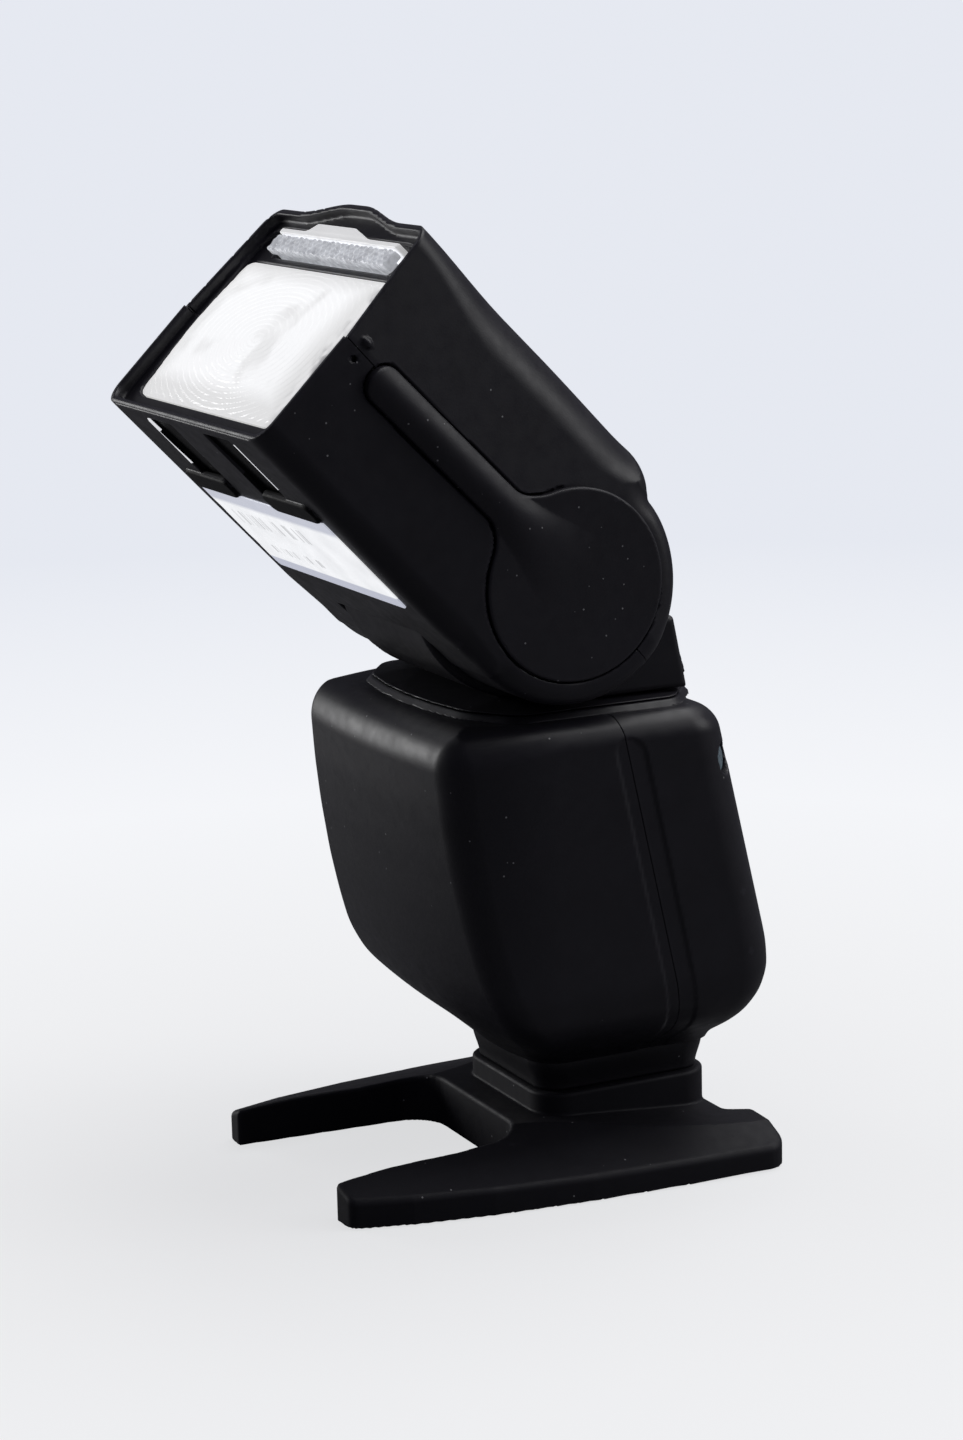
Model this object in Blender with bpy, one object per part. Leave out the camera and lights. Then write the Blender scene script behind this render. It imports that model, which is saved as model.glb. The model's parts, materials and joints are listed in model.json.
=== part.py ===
"""Speedlight flash on its mini stand, as separate solids in one frame.

Frame: the flash looks towards -Y, +Z is up, X = 0 is the plane of symmetry,
Y = 0 is the head's tilt axis and Z = 0 is the floor under the mini stand.
The numbers below are millimetres; MM turns them into Blender's metres.
"""
import math

import bmesh
import bpy
from mathutils import Vector

MM = 0.001

# Body
HALF_WIDTH = 37.1
BODY_TOP = 91.8
BODY_BOTTOM = 20.6
RAKE_DEG = 12.9
WALL = 2.0
TOP_ROUND = 4.6
GAP = 0.3

# Neck, foot and hot shoe
NECK_HALF = 17.7
NECK_FRONT = 0.9
NECK_REAR = 39.0
NECK_BOTTOM = 16.7
SHOE_WIDTH = 18.6
SHOE_THICK = 2.0
SHOE_LOW = 10.5
SHOE_FRONT = 10.8
SHOE_REAR = 29.2
PEDESTAL_HALF = 6.2
LEVER_Y = 30.0
LEVER_LOW = 17.4
LEVER_HIGH = 19.4

# Swivel turret
SWIVEL_Y = 8.0
TURRET_LOW = 93.1
TURRET_HIGH = 94.2
TURRET_HALF = 28.8
STEM_RADIUS = 9.0
STEM_LOW = 84.6
STEM_CLEAR = 0.6
STEM_BORE = 6.0

# Head
TILT_Z = 117.8
TILT_REST_DEG = 45.0
HEAD_FRONT = 65.5
HEAD_TOP = 27.9
HEAD_BOTTOM_FRONT = -21.7
HEAD_BOTTOM_REAR = -23.2
HEAD_HALF = 36.9
HEAD_FLARE = 0.023
HEAD_UNDER_REAR = 15.0
HEAD_TAPER_FROM = 3.0
HEAD_TAPER = 0.0039
EAR_RADIUS = 22.7
DRUM_RADIUS = 24.3
DRUM_HALF = 17.5
MOUTH_HALF = 18.1
MOUTH_RADIUS = 24.9
TRUNNION_RADIUS = 8.0
TRUNNION_REACH = 27.0
SEAM_V_FRONT = 2.4
SEAM_V_REAR = -0.6

# Cells
CELL_RADIUS = 7.25
CELL_LENGTH = 50.5
CELL_PITCH = 14.8

# Mini stand
STAND_EDGE = 5.3
STAND_DECK = 10.2
BLOCK_TOP = 16.4


def clear_scene():
    for obj in list(bpy.data.objects):
        bpy.data.objects.remove(obj)


def material(name, colour, roughness, metallic=0.0):
    made = bpy.data.materials.new(name)
    made.use_nodes = True
    shader = made.node_tree.nodes["Principled BSDF"]
    shader.inputs["Base Color"].default_value = (*colour, 1.0)
    shader.inputs["Roughness"].default_value = roughness
    shader.inputs["Metallic"].default_value = metallic
    return made


def frame(name, place=(0.0, 0.0, 0.0), turn_x_deg=0.0):
    """An empty that carries the pieces of one joint."""
    empty = bpy.data.objects.new(name, None)
    empty.location = Vector(place) * MM
    empty.rotation_euler = (math.radians(turn_x_deg), 0.0, 0.0)
    bpy.context.scene.collection.objects.link(empty)
    return empty


def solid(name, points, faces, paint=None, parent=None, place=(0.0, 0.0, 0.0), smooth=True):
    """One closed mesh object from points in millimetres."""
    mesh = bpy.data.meshes.new(name)
    mesh.from_pydata([Vector(p) * MM for p in points], [], faces)
    shape = bmesh.new()
    shape.from_mesh(mesh)
    bmesh.ops.remove_doubles(shape, verts=shape.verts, dist=1e-7)
    bmesh.ops.recalc_face_normals(shape, faces=shape.faces)
    for face in shape.faces:
        face.smooth = smooth
    shape.to_mesh(mesh)
    shape.free()
    obj = bpy.data.objects.new(name, mesh)
    obj.location = Vector(place) * MM
    obj.parent = parent
    if paint is not None:
        mesh.materials.append(paint)
    bpy.context.scene.collection.objects.link(obj)
    return obj


def loft(name, rings, paint=None, parent=None, place=(0.0, 0.0, 0.0)):
    """Rings of equal length joined in order, with a flat cap at each end."""
    count = len(rings[0])
    points = [point for ring in rings for point in ring]
    faces = [list(range(count)), list(range(len(points) - count, len(points)))]
    for level in range(len(rings) - 1):
        for i in range(count):
            j = (i + 1) % count
            base = level * count
            faces.append([base + i, base + j, base + count + j, base + count + i])
    return solid(name, points, faces, paint, parent, place)


def laid(outline, height, along):
    """An outline's points at one height along Z, Y or X, or across the head."""
    if along == "Z":
        return [(a, b, height) for a, b in outline]
    if along == "Y":
        return [(a, height, b) for a, b in outline]
    if along == "X":
        return [(height, a, b) for a, b in outline]
    return [(height, -a, b) for a, b in outline]


def prism(name, outline, low, high, along="Z", paint=None, parent=None, place=(0.0, 0.0, 0.0)):
    rings = [laid(outline, low, along), laid(outline, high, along)]
    return loft(name, rings, paint, parent, place)


def box(name, low, high, paint=None, parent=None, place=(0.0, 0.0, 0.0)):
    outline = [(low[0], low[1]), (high[0], low[1]), (high[0], high[1]), (low[0], high[1])]
    return prism(name, outline, low[2], high[2], "Z", paint, parent, place)


def circle(radius, count, centre=(0.0, 0.0)):
    return [
        (
            centre[0] + radius * math.cos(2 * math.pi * k / count),
            centre[1] + radius * math.sin(2 * math.pi * k / count),
        )
        for k in range(count)
    ]


def rounded(corners, steps=3):
    """An outline whose corners, given as (x, y, radius), become arcs."""
    outline = []
    for i, (x, y, radius) in enumerate(corners):
        corner = Vector((x, y))
        if radius <= 0:
            outline.append((x, y))
            continue
        back = (Vector(corners[i - 1][:2]) - corner).normalized()
        ahead = (Vector(corners[(i + 1) % len(corners)][:2]) - corner).normalized()
        half = back.angle(ahead) / 2
        centre = corner + (back + ahead).normalized() * (radius / math.sin(half))
        start = corner + back * (radius / math.tan(half)) - centre
        end = corner + ahead * (radius / math.tan(half)) - centre
        first = math.atan2(start.y, start.x)
        sweep = (math.atan2(end.y, end.x) - first + math.pi) % (2 * math.pi) - math.pi
        for k in range(steps + 1):
            angle = first + sweep * k / steps
            outline.append((centre.x + radius * math.cos(angle), centre.y + radius * math.sin(angle)))
    return outline


def rounded_box(half_x, low_y, high_y, radius, steps=3):
    corners = [
        (-half_x, low_y, radius),
        (half_x, low_y, radius),
        (half_x, high_y, radius),
        (-half_x, high_y, radius),
    ]
    return rounded(corners, steps)


def mirrored(half_corners):
    """A symmetric corner list from the half on the +X side, front to back."""
    return half_corners + [(-x, y, r) for x, y, r in reversed(half_corners)]


def boolean(target, other, operation):
    """Changes the target by the other object and removes the other."""
    modifier = target.modifiers.new("cut", "BOOLEAN")
    modifier.operation = operation
    modifier.object = other
    modifier.solver = "EXACT"
    bpy.context.view_layer.update()
    graph = bpy.context.evaluated_depsgraph_get()
    result = bpy.data.meshes.new_from_object(target.evaluated_get(graph))
    target.modifiers.clear()
    target.data = result
    bpy.data.objects.remove(other)
    return target


def cut(target, *cutters):
    for cutter in cutters:
        boolean(target, cutter, "DIFFERENCE")
    return target


def join(target, *others):
    for other in others:
        boolean(target, other, "UNION")
    return target


def copy_of(obj, name):
    twin = obj.copy()
    twin.data = obj.data.copy()
    twin.name = name
    bpy.context.scene.collection.objects.link(twin)
    return twin


def between(stations, z):
    """A smooth value at height z from (height, value) stations, lowest first."""
    if z <= stations[0][0]:
        return stations[0][1]
    for (low, first), (high, second) in zip(stations, stations[1:]):
        if z <= high:
            t = (z - low) / (high - low)
            return first + (second - first) * t
    return stations[-1][1]


# ---------------------------------------------------------------- body shape
# Each line is (height, value): the front and rear faces' Y, the half width, the corner radii
FRONT_LINE = [
    (20.6, 1.0), (23.0, -1.2), (26.5, -5.6), (29.7, -10.0), (34.5, -14.4),
    (41.0, -17.6), (48.0, -19.6), (56.0, -21.5), (67.0, -23.4), (76.0, -24.5), (91.8, -25.6),
]
REAR_LINE = [
    (20.6, 39.2), (26.5, 39.7), (31.0, 41.2), (34.0, 42.5), (38.5, 43.7), (44.0, 43.4), (91.8, 32.5),
]
WIDTH_LINE = [
    (20.6, 17.9), (22.6, 19.6), (24.6, 24.0), (27.0, 28.6), (30.0, 32.9), (34.0, 35.8),
    (39.0, HALF_WIDTH),
]
FRONT_RADIUS = [(20.6, 7.0), (26.5, 10.0), (34.5, 14.0), (41.0, 15.0)]
REAR_RADIUS = [(20.6, 5.0), (30.0, 7.5), (39.0, 9.0)]
FRONT_BULGE = 1.6
LEAST_RADIUS = 2.0
FRONT_ARC_STEPS = 5
REAR_ARC_STEPS = 3
HOLLOW_RUN_OUT = 8.0
SEAM_LEAN_DEG = 12.15
SEAM_Y = 20.7
SEAM_Z = 38.0
RING_HEIGHTS = [20.6, 22.6, 24.6, 27.0, 30.0, 34.0, 38.5, 44.0, 54.0, 66.0, 78.0]
ROUND_STEPS = 3
BULGE_STEPS = 4


def body_ring(z, inset, height):
    """The body's plan at one level, shrunk by inset and drawn at a height."""
    half = between(WIDTH_LINE, z) - inset
    front = between(FRONT_LINE, z) + inset
    rear = between(REAR_LINE, z) - inset
    front_radius = max(between(FRONT_RADIUS, z) - inset, LEAST_RADIUS)
    rear_radius = max(between(REAR_RADIUS, z) - inset, LEAST_RADIUS)
    flat = half - front_radius
    nose = []
    for k in range(BULGE_STEPS + 1):
        x = flat * (2 * k / BULGE_STEPS - 1)
        nose.append((x, front - FRONT_BULGE * (1 - (x / half) ** 2)))
    corner_y = nose[-1][1]
    corner_depth = front + front_radius - corner_y
    side = []
    for k in range(1, FRONT_ARC_STEPS + 1):
        angle = math.radians(90 * k / FRONT_ARC_STEPS)
        x = flat + front_radius * math.sin(angle)
        side.append((x, corner_y + corner_depth * (1 - math.cos(angle))))
    for k in range(REAR_ARC_STEPS + 1):
        angle = math.radians(90 * k / REAR_ARC_STEPS)
        x = half - rear_radius * (1 - math.cos(angle))
        side.append((x, rear - rear_radius * (1 - math.sin(angle))))
    outline = nose + side + [(-x, y) for x, y in reversed(side)]
    return [(x, y, height) for x, y in outline]


def body_solid(name, wall):
    """The whole outside of the body, or its hollow when wall is above zero."""
    rings = [body_ring(BODY_BOTTOM, wall, BODY_BOTTOM - HOLLOW_RUN_OUT)] if wall else []
    rings += [body_ring(z, wall, z) for z in RING_HEIGHTS]
    top_radius = TOP_ROUND - wall
    for k in range(ROUND_STEPS + 1):
        angle = math.radians(90 * k / ROUND_STEPS)
        height = BODY_TOP - wall - top_radius * (1 - math.sin(angle))
        rings.append(body_ring(height, wall + top_radius * (1 - math.cos(angle)), height))
    return loft(name, rings)


def seam_box(name, front_side):
    """Half of space on one side of the raked seam between the two shells."""
    lean = math.tan(math.radians(SEAM_LEAN_DEG))
    high = 130.0
    far = -90.0 if front_side else 110.0
    edge = -GAP / 2 if front_side else GAP / 2
    low_y = SEAM_Y + SEAM_Z * lean + edge
    high_y = low_y - high * lean
    outline = [(low_y, 0.0), (high_y, high), (far, high), (far, 0.0)]
    return prism(name, outline, -60.0, 60.0, "X")


clear_scene()

shell_black = material("shell_black", (0.018, 0.018, 0.020), 0.42)
turret_black = material("turret_black", (0.020, 0.020, 0.022), 0.40)
cover_black = material("cover_black", (0.024, 0.024, 0.026), 0.45)
foot_black = material("foot_black", (0.016, 0.016, 0.018), 0.45)
stand_black = material("stand_black", (0.020, 0.020, 0.021), 0.50)
button_grey = material("button_grey", (0.13, 0.14, 0.15), 0.45)
button_blue = material("button_blue", (0.20, 0.25, 0.28), 0.35)
lens_clear = material("lens_clear", (0.92, 0.93, 0.94), 0.10)
panel_clear = material("panel_clear", (0.80, 0.83, 0.86), 0.20)
panel_white = material("panel_white", (0.90, 0.90, 0.90), 0.40)
label_silver = material("label_silver", (0.72, 0.73, 0.75), 0.45)
steel = material("steel", (0.62, 0.62, 0.64), 0.28, 1.0)
bright_metal = material("bright_metal", (0.85, 0.85, 0.86), 0.12, 1.0)
brass = material("brass", (0.78, 0.57, 0.25), 0.30, 1.0)
board_green = material("board_green", (0.03, 0.16, 0.07), 0.50)
lcd_grey = material("lcd_grey", (0.34, 0.38, 0.34), 0.30)
window_clear = material("window_clear", (0.10, 0.11, 0.12), 0.08)
cell_wrap = material("cell_wrap", (0.10, 0.20, 0.34), 0.35)
capacitor_wrap = material("capacitor_wrap", (0.02, 0.03, 0.07), 0.35)
tube_glass = material("tube_glass", (0.86, 0.88, 0.90), 0.06)
inner_plastic = material("inner_plastic", (0.05, 0.05, 0.055), 0.55)

# ---------------------------------------------------------------- frames
PANEL_HEIGHT = 66.0
RAKE_CENTRE = (0.0, 8.5, 60.0)
panel_frame = frame(
    "panel_frame", (0.0, between(REAR_LINE, PANEL_HEIGHT), PANEL_HEIGHT), RAKE_DEG - 90.0
)
rake_frame = frame("rake_frame", RAKE_CENTRE, RAKE_DEG)
swivel_frame = frame("swivel_frame", (0.0, SWIVEL_Y, 0.0))
tilt_frame = frame("tilt_frame", (0.0, 0.0, TILT_Z), -TILT_REST_DEG)

# ---------------------------------------------------------------- body shells
DOOR_LOW = (-38.5, -17.5, -16.0)
DOOR_HIGH = (-35.1, 18.5, 22.0)
HINGE_X = -36.1
HINGE_Y = DOOR_LOW[1]
BARREL = 1.0
PIN_HALF = 0.6
PIN_OVERHANG = 2.5


def door_space(name, low_x, high_x, grow):
    """The block of space that the battery door takes out of the body's side."""
    return box(
        name,
        (low_x, DOOR_LOW[1] - grow, DOOR_LOW[2] - grow),
        (high_x, DOOR_HIGH[1] + grow, DOOR_HIGH[2] + grow),
        parent=rake_frame,
    )


def hinge_bar(name, radius, low, high, count=12):
    """A bar on the battery door's hinge axis."""
    outline = circle(radius, count, (HINGE_X, HINGE_Y))
    return prism(name, outline, low, high, "Z", parent=rake_frame)


# Controls on the rear panel, as (x, distance down the panel) from the panel's frame
LCD_CENTRE = (0.0, -11.2)
LCD_HALF = (21.0, 9.8)
FUNCTION_ROW = 3.4
FUNCTION_XS = (-16.5, -5.5, 5.5, 16.5)
DIAL_CENTRE = (0.0, 15.2)
DIAL_RADIUS = 8.6
SET_RADIUS = 4.2
SIDE_BUTTONS = (
    ("mode_button", 20.5, 10.6),
    ("zoom_button", 20.5, 19.8),
    ("test_button", -20.5, 10.0),
)
SWITCH_CENTRE = (-20.5, 19.6)
SWITCH_RADIUS = 4.6
KEY_HALF = (3.6, 1.7)
ROUND_KEY_RADIUS = 3.0
BUTTON_OUT = 0.7
BUTTON_IN = -3.2
HOLE_DEPTH = 9.0


def panel_plug(name, outline, low, high, paint=None, centre=(0.0, 0.0)):
    return prism(
        name, outline, low, high, "Z", paint, panel_frame, (centre[0], centre[1], 0.0)
    )


def panel_hole(target, outline, centre):
    cut(target, panel_plug("hole", outline, -HOLE_DEPTH, HOLE_DEPTH, centre=centre))


def panel_holes(target):
    """Cuts every opening of the rear panel."""
    half_x, half_y = LCD_HALF
    panel_hole(target, rounded_box(half_x + GAP, -half_y - GAP, half_y + GAP, 1.8), LCD_CENTRE)
    half_x, half_y = KEY_HALF
    for x in FUNCTION_XS:
        key = rounded_box(half_x + GAP, -half_y - GAP, half_y + GAP, 1.2)
        panel_hole(target, key, (x, FUNCTION_ROW))
    for _, x, y in SIDE_BUTTONS:
        panel_hole(target, circle(ROUND_KEY_RADIUS + GAP, 16), (x, y))
    panel_hole(target, circle(DIAL_RADIUS + GAP, 32), DIAL_CENTRE)
    panel_hole(target, circle(SWITCH_RADIUS + GAP, 20), SWITCH_CENTRE)


CORNER_KEY_PLACE = (32.6, 31.6, 81.0)
CORNER_KEY_FACES = (0.72, 0.68, 0.12)
CORNER_KEY_RADIUS = 2.9


def corner_plug(name, radius, low, high, paint=None):
    """The round blue-grey button on the rear corner, set at an angle."""
    made = prism(name, circle(radius, 16), low, high, "Z", paint, None, CORNER_KEY_PLACE)
    made.rotation_euler = Vector(CORNER_KEY_FACES).to_track_quat("Z", "Y").to_euler()
    return made


outer = body_solid("body_outer", 0.0)
hollow = body_solid("body_hollow", WALL)
shells = copy_of(outer, "shells")
cut(shells, hollow)
cut(
    shells,
    prism("hole", circle(STEM_RADIUS + STEM_CLEAR, 32, (0.0, SWIVEL_Y)), 80.0, 99.0),
    door_space("hole", -45.0, -30.0, GAP),
    hinge_bar("hole", BARREL + GAP, DOOR_LOW[2] - GAP, DOOR_HIGH[2] + GAP),
    hinge_bar("hole", PIN_HALF + GAP, DOOR_LOW[2] - 3.0, DOOR_HIGH[2] + 3.0, 10),
)
front_shell = copy_of(shells, "front_shell")
rear_shell = shells
rear_shell.name = "rear_shell"
boolean(front_shell, seam_box("half", True), "INTERSECT")
boolean(rear_shell, seam_box("half", False), "INTERSECT")
panel_holes(rear_shell)
cut(rear_shell, corner_plug("hole", CORNER_KEY_RADIUS + GAP, -6.0, 6.0))
for shell in (front_shell, rear_shell):
    shell.data.materials.clear()
    shell.data.materials.append(shell_black)

# ---------------------------------------------------------------- battery door
battery_door = copy_of(outer, "battery_door")
boolean(battery_door, door_space("keep", -45.0, DOOR_HIGH[0], 0.0), "INTERSECT")
join(battery_door, hinge_bar("barrel", BARREL, DOOR_LOW[2], DOOR_HIGH[2]))
LATCH_CENTRE = (9.0, 3.0)
LATCH_HALF = (2.6, 4.0)
LATCH_TRAVEL = 3.0
LATCH_SIDES = (LATCH_CENTRE[0] - LATCH_HALF[0], LATCH_CENTRE[0] + LATCH_HALF[0])
LATCH_ENDS = (LATCH_CENTRE[1] - LATCH_HALF[1], LATCH_CENTRE[1] + LATCH_HALF[1])
cut(
    battery_door,
    hinge_bar("hole", PIN_HALF + 0.06, DOOR_LOW[2] - 1, DOOR_HIGH[2] + 1, 10),
    box(
        "pocket",
        (-40.0, LATCH_SIDES[0] - GAP, LATCH_ENDS[0] - LATCH_TRAVEL - GAP),
        (-36.2, LATCH_SIDES[1] + GAP, LATCH_ENDS[1] + GAP),
        parent=rake_frame,
    ),
)
battery_door.data.materials.clear()
battery_door.data.materials.append(shell_black)
hinge_pin = hinge_bar(
    "door_hinge_pin", PIN_HALF, DOOR_LOW[2] - PIN_OVERHANG, DOOR_HIGH[2] + PIN_OVERHANG, 10
)
hinge_pin.data.materials.append(steel)
box(
    "door_latch",
    (-37.5, LATCH_SIDES[0], LATCH_ENDS[0]),
    (-36.4, LATCH_SIDES[1], LATCH_ENDS[1]),
    button_grey,
    rake_frame,
)

# ---------------------------------------------------------------- inside the body
BAY_CENTRE = (-9.5, 3.0)
BAY_HALF = 14.9
BAY_WALL = 1.0
BAY_LOW_X = -27.6
BAY_HIGH_X = 27.4


def bay_outline(half):
    return [
        (BAY_CENTRE[0] - half, BAY_CENTRE[1] - half),
        (BAY_CENTRE[0] + half, BAY_CENTRE[1] - half),
        (BAY_CENTRE[0] + half, BAY_CENTRE[1] + half),
        (BAY_CENTRE[0] - half, BAY_CENTRE[1] + half),
    ]


battery_box = prism(
    "battery_box", bay_outline(BAY_HALF + BAY_WALL), BAY_LOW_X, BAY_HIGH_X + BAY_WALL, "X",
    inner_plastic, rake_frame,
)
cut(
    battery_box,
    prism("hole", bay_outline(BAY_HALF), BAY_LOW_X - 1, BAY_HIGH_X, "X", parent=rake_frame),
)
CELL_LOW_X = -26.4
NUB_RADIUS = 2.7
NUB_LENGTH = 1.4


def cell_centre(index):
    """Where cell 0 to 3 lies across the bay, in a two by two stack."""
    side = index % 2 - 0.5
    level = index // 2 - 0.5
    return BAY_CENTRE[0] + side * CELL_PITCH, BAY_CENTRE[1] + level * CELL_PITCH


for index in range(4):
    wrap = circle(CELL_RADIUS, 20)
    nub = circle(NUB_RADIUS, 20)
    shoulder = CELL_LENGTH - NUB_LENGTH
    stations = ((wrap, 0.0), (wrap, shoulder), (nub, shoulder), (nub, CELL_LENGTH))
    rings = [laid(ring, x, "X") for ring, x in stations]
    loft(f"aa_cell_{index + 1}", rings, cell_wrap, rake_frame, (CELL_LOW_X, *cell_centre(index)))
contact_board = prism(
    "battery_contact_board", bay_outline(BAY_HALF - GAP), 25.7, 27.0, "X", brass, rake_frame
)
for index in range(4):
    pad = circle(2.6, 10, cell_centre(index))
    join(contact_board, prism("pad", pad, 24.5, 26.2, "X", parent=rake_frame))
door_contact = box(
    "door_contact_plate",
    (-34.8, BAY_CENTRE[0] - 4.0, BAY_CENTRE[1] - 13.0),
    (-33.4, BAY_CENTRE[0] + 14.6, BAY_CENTRE[1] + 13.0),
    brass,
    rake_frame,
)
for index in (1, 3):
    spring = circle(2.4, 10, cell_centre(index))
    join(door_contact, prism("spring", spring, -33.8, -27.2, "X", parent=rake_frame))
CAPACITOR_RADIUS = 8.3
CAPACITOR_PLACE = (0.0, 15.1, -6.0)
prism(
    "main_capacitor", circle(CAPACITOR_RADIUS, 28), -24.0, 26.0, "X", capacitor_wrap, rake_frame,
    CAPACITOR_PLACE,
)
box("main_board", (-27.0, -22.0, -6.4), (27.0, 27.0, -5.0), board_green, panel_frame)
LCD_BORDER = 1.5
panel_plug(
    "lcd_module",
    rounded_box(LCD_HALF[0] + LCD_BORDER, -LCD_HALF[1] - LCD_BORDER, LCD_HALF[1] + LCD_BORDER, 1.0, 1),
    -4.7, -2.5, lcd_grey, LCD_CENTRE,
)
panel_plug(
    "lcd_window", rounded_box(LCD_HALF[0], -LCD_HALF[1], LCD_HALF[1], 1.5), -1.9, -0.1,
    window_clear, LCD_CENTRE,
)

# ---------------------------------------------------------------- rear controls
for number, x in enumerate(FUNCTION_XS):
    panel_plug(
        f"function_button_{number + 1}", rounded_box(KEY_HALF[0], -KEY_HALF[1], KEY_HALF[1], 1.1),
        BUTTON_IN, BUTTON_OUT, button_grey, (x, FUNCTION_ROW),
    )
for name, x, y in SIDE_BUTTONS:
    panel_plug(name, circle(ROUND_KEY_RADIUS, 16), BUTTON_IN, BUTTON_OUT, button_grey, (x, y))
select_dial = panel_plug("select_dial", circle(DIAL_RADIUS, 32), -3.4, 1.2, button_grey, DIAL_CENTRE)
cut(select_dial, panel_plug("hole", circle(SET_RADIUS + GAP, 20), -5.0, 5.0, centre=DIAL_CENTRE))
panel_plug("set_button", circle(SET_RADIUS, 20), BUTTON_IN, 0.9, button_grey, DIAL_CENTRE)
power_switch = panel_plug(
    "power_switch", circle(SWITCH_RADIUS, 20), -3.4, 0.6, button_grey, SWITCH_CENTRE
)
join(
    power_switch,
    panel_plug("grip", rounded_box(1.0, -4.2, 3.4, 0.9, 2), 0.3, 2.2, centre=SWITCH_CENTRE),
)
corner_plug("wireless_button", CORNER_KEY_RADIUS, BUTTON_IN, 0.6, button_blue)

# ---------------------------------------------------------------- foot
NECK_RADIUS = 6.5
neck_outline = rounded_box(NECK_HALF, NECK_FRONT, NECK_REAR, NECK_RADIUS, 4)
foot_housing = prism("foot_housing", neck_outline, NECK_BOTTOM, BODY_BOTTOM - GAP, "Z", foot_black)
join(
    foot_housing,
    box("pedestal", (-PEDESTAL_HALF, 11.2, SHOE_LOW + SHOE_THICK + 0.3), (PEDESTAL_HALF, 28.6, 17.2)),
)
cut(
    foot_housing,
    box("pocket", (-13.0, 24.0, LEVER_LOW - GAP), (13.0, 45.0, LEVER_HIGH + GAP)),
)
join(foot_housing, prism("post", circle(1.5, 16, (0.0, LEVER_Y)), 16.9, 20.0))
PIN_Y = 14.0
PIN_RADIUS = 1.2
cut(foot_housing, prism("hole", circle(PIN_RADIUS + GAP, 16, (0.0, PIN_Y)), 5.0, 30.0))
shoe_plate = prism(
    "shoe_plate", rounded_box(SHOE_WIDTH / 2, SHOE_FRONT, SHOE_REAR, 1.2), SHOE_LOW,
    SHOE_LOW + SHOE_THICK, "Z", bright_metal,
)
cut(
    shoe_plate,
    prism("hole", circle(PIN_RADIUS + GAP, 16, (0.0, PIN_Y)), 5.0, 30.0),
    box("hole", (-5.0, 16.4, 5.0), (5.0, 27.0, 30.0)),
)
contact_block = box("shoe_contact_block", (-4.7, 16.7, 10.7), (4.7, 26.7, 12.5), inner_plastic)
for x, y in ((0.0, 21.7), (-2.9, 19.2), (2.9, 19.2), (-2.9, 24.4), (2.9, 24.4)):
    join(contact_block, prism("pin", circle(0.9, 10, (x, y)), 10.4, 11.2))
PIN_LOW = 10.8
PIN_LENGTH = 9.6
prism(
    "lock_pin", circle(PIN_RADIUS, 14), 0.0, PIN_LENGTH, "Z", steel, None, (0.0, PIN_Y, PIN_LOW)
)
LEVER_OUTLINE = rounded(
    [(-3.4, -3.2, 2.0), (3.4, -3.2, 2.0), (3.4, 10.0, 1.0), (5.2, 11.0, 0.8), (5.2, 13.6, 1.0),
     (-5.2, 13.6, 1.0), (-5.2, 11.0, 0.8), (-3.4, 10.0, 1.0)], 2
)
lock_lever = prism(
    "lock_lever", LEVER_OUTLINE, LEVER_LOW, LEVER_HIGH, "Z", button_grey, None, (0.0, LEVER_Y, 0.0)
)
cut(lock_lever, prism("hole", circle(1.8, 16, (0.0, LEVER_Y)), 15.0, 22.0))

# ---------------------------------------------------------------- swivel turret
TURRET_FRONT = -17.6
TURRET_REAR = 34.4
TURRET_SIDE = [
    (10.0, -16.9, 0.0), (20.0, -14.9, 0.0), (TURRET_HALF, -11.4, 3.0),
    (TURRET_HALF, 26.0, 3.0), (20.0, 31.6, 0.0), (10.0, 33.7, 0.0),
]
turret_corners = [(0.0, TURRET_FRONT, 0.0)] + TURRET_SIDE + [(0.0, TURRET_REAR, 0.0)]
turret_corners += [(-x, y, radius) for x, y, radius in reversed(TURRET_SIDE)]
turret_outline = [(x, y - SWIVEL_Y) for x, y in rounded(turret_corners, 3)]


def grown(outline, by):
    """The outline pushed outwards from its middle by about the given amount."""
    out = []
    for x, y in outline:
        length = math.hypot(x, y)
        out.append((x * (length + by) / length, y * (length + by) / length))
    return out


SEAT_MARGIN = 2.2
BUSH_RADIUS = 12.4
CLIP_RADIUS = 11.6
seat_outline = grown(turret_outline, SEAT_MARGIN)
swivel_seat = prism(
    "swivel_seat", [(x, y + SWIVEL_Y) for x, y in seat_outline], BODY_TOP + GAP, TURRET_LOW - GAP,
    "Z", turret_black,
)
cut(swivel_seat, prism("hole", circle(STEM_RADIUS + STEM_CLEAR, 32, (0.0, SWIVEL_Y)), 80.0, 99.0))
turret_base = loft(
    "turret_base",
    [
        laid(turret_outline, TURRET_LOW, "Z"),
        laid(turret_outline, TURRET_LOW + 0.7, "Z"),
        laid(grown(turret_outline, -1.2), TURRET_HIGH, "Z"),
    ],
    turret_black,
    swivel_frame,
)
cut(turret_base, prism("hole", circle(STEM_BORE, 24), 80.0, 99.0, "Z", parent=swivel_frame))
swivel_stem = prism(
    "swivel_stem", circle(STEM_RADIUS, 32), STEM_LOW, TURRET_LOW - 0.2, "Z", steel, swivel_frame
)
cut(swivel_stem, prism("hole", circle(STEM_BORE, 24), 70.0, 99.0, "Z", parent=swivel_frame))
swivel_bush = prism(
    "swivel_bush", circle(BUSH_RADIUS, 28, (0.0, SWIVEL_Y)), 86.8, BODY_TOP - WALL - 0.2, "Z", brass
)
cut(swivel_bush, prism("hole", circle(STEM_RADIUS + GAP, 28, (0.0, SWIVEL_Y)), 70.0, 99.0))
swivel_clip = prism("swivel_clip", circle(CLIP_RADIUS, 24), 85.2, 86.4, "Z", steel, swivel_frame)
cut(swivel_clip, prism("hole", circle(STEM_RADIUS + 0.1, 24), 70.0, 99.0, "Z", parent=swivel_frame))
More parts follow.
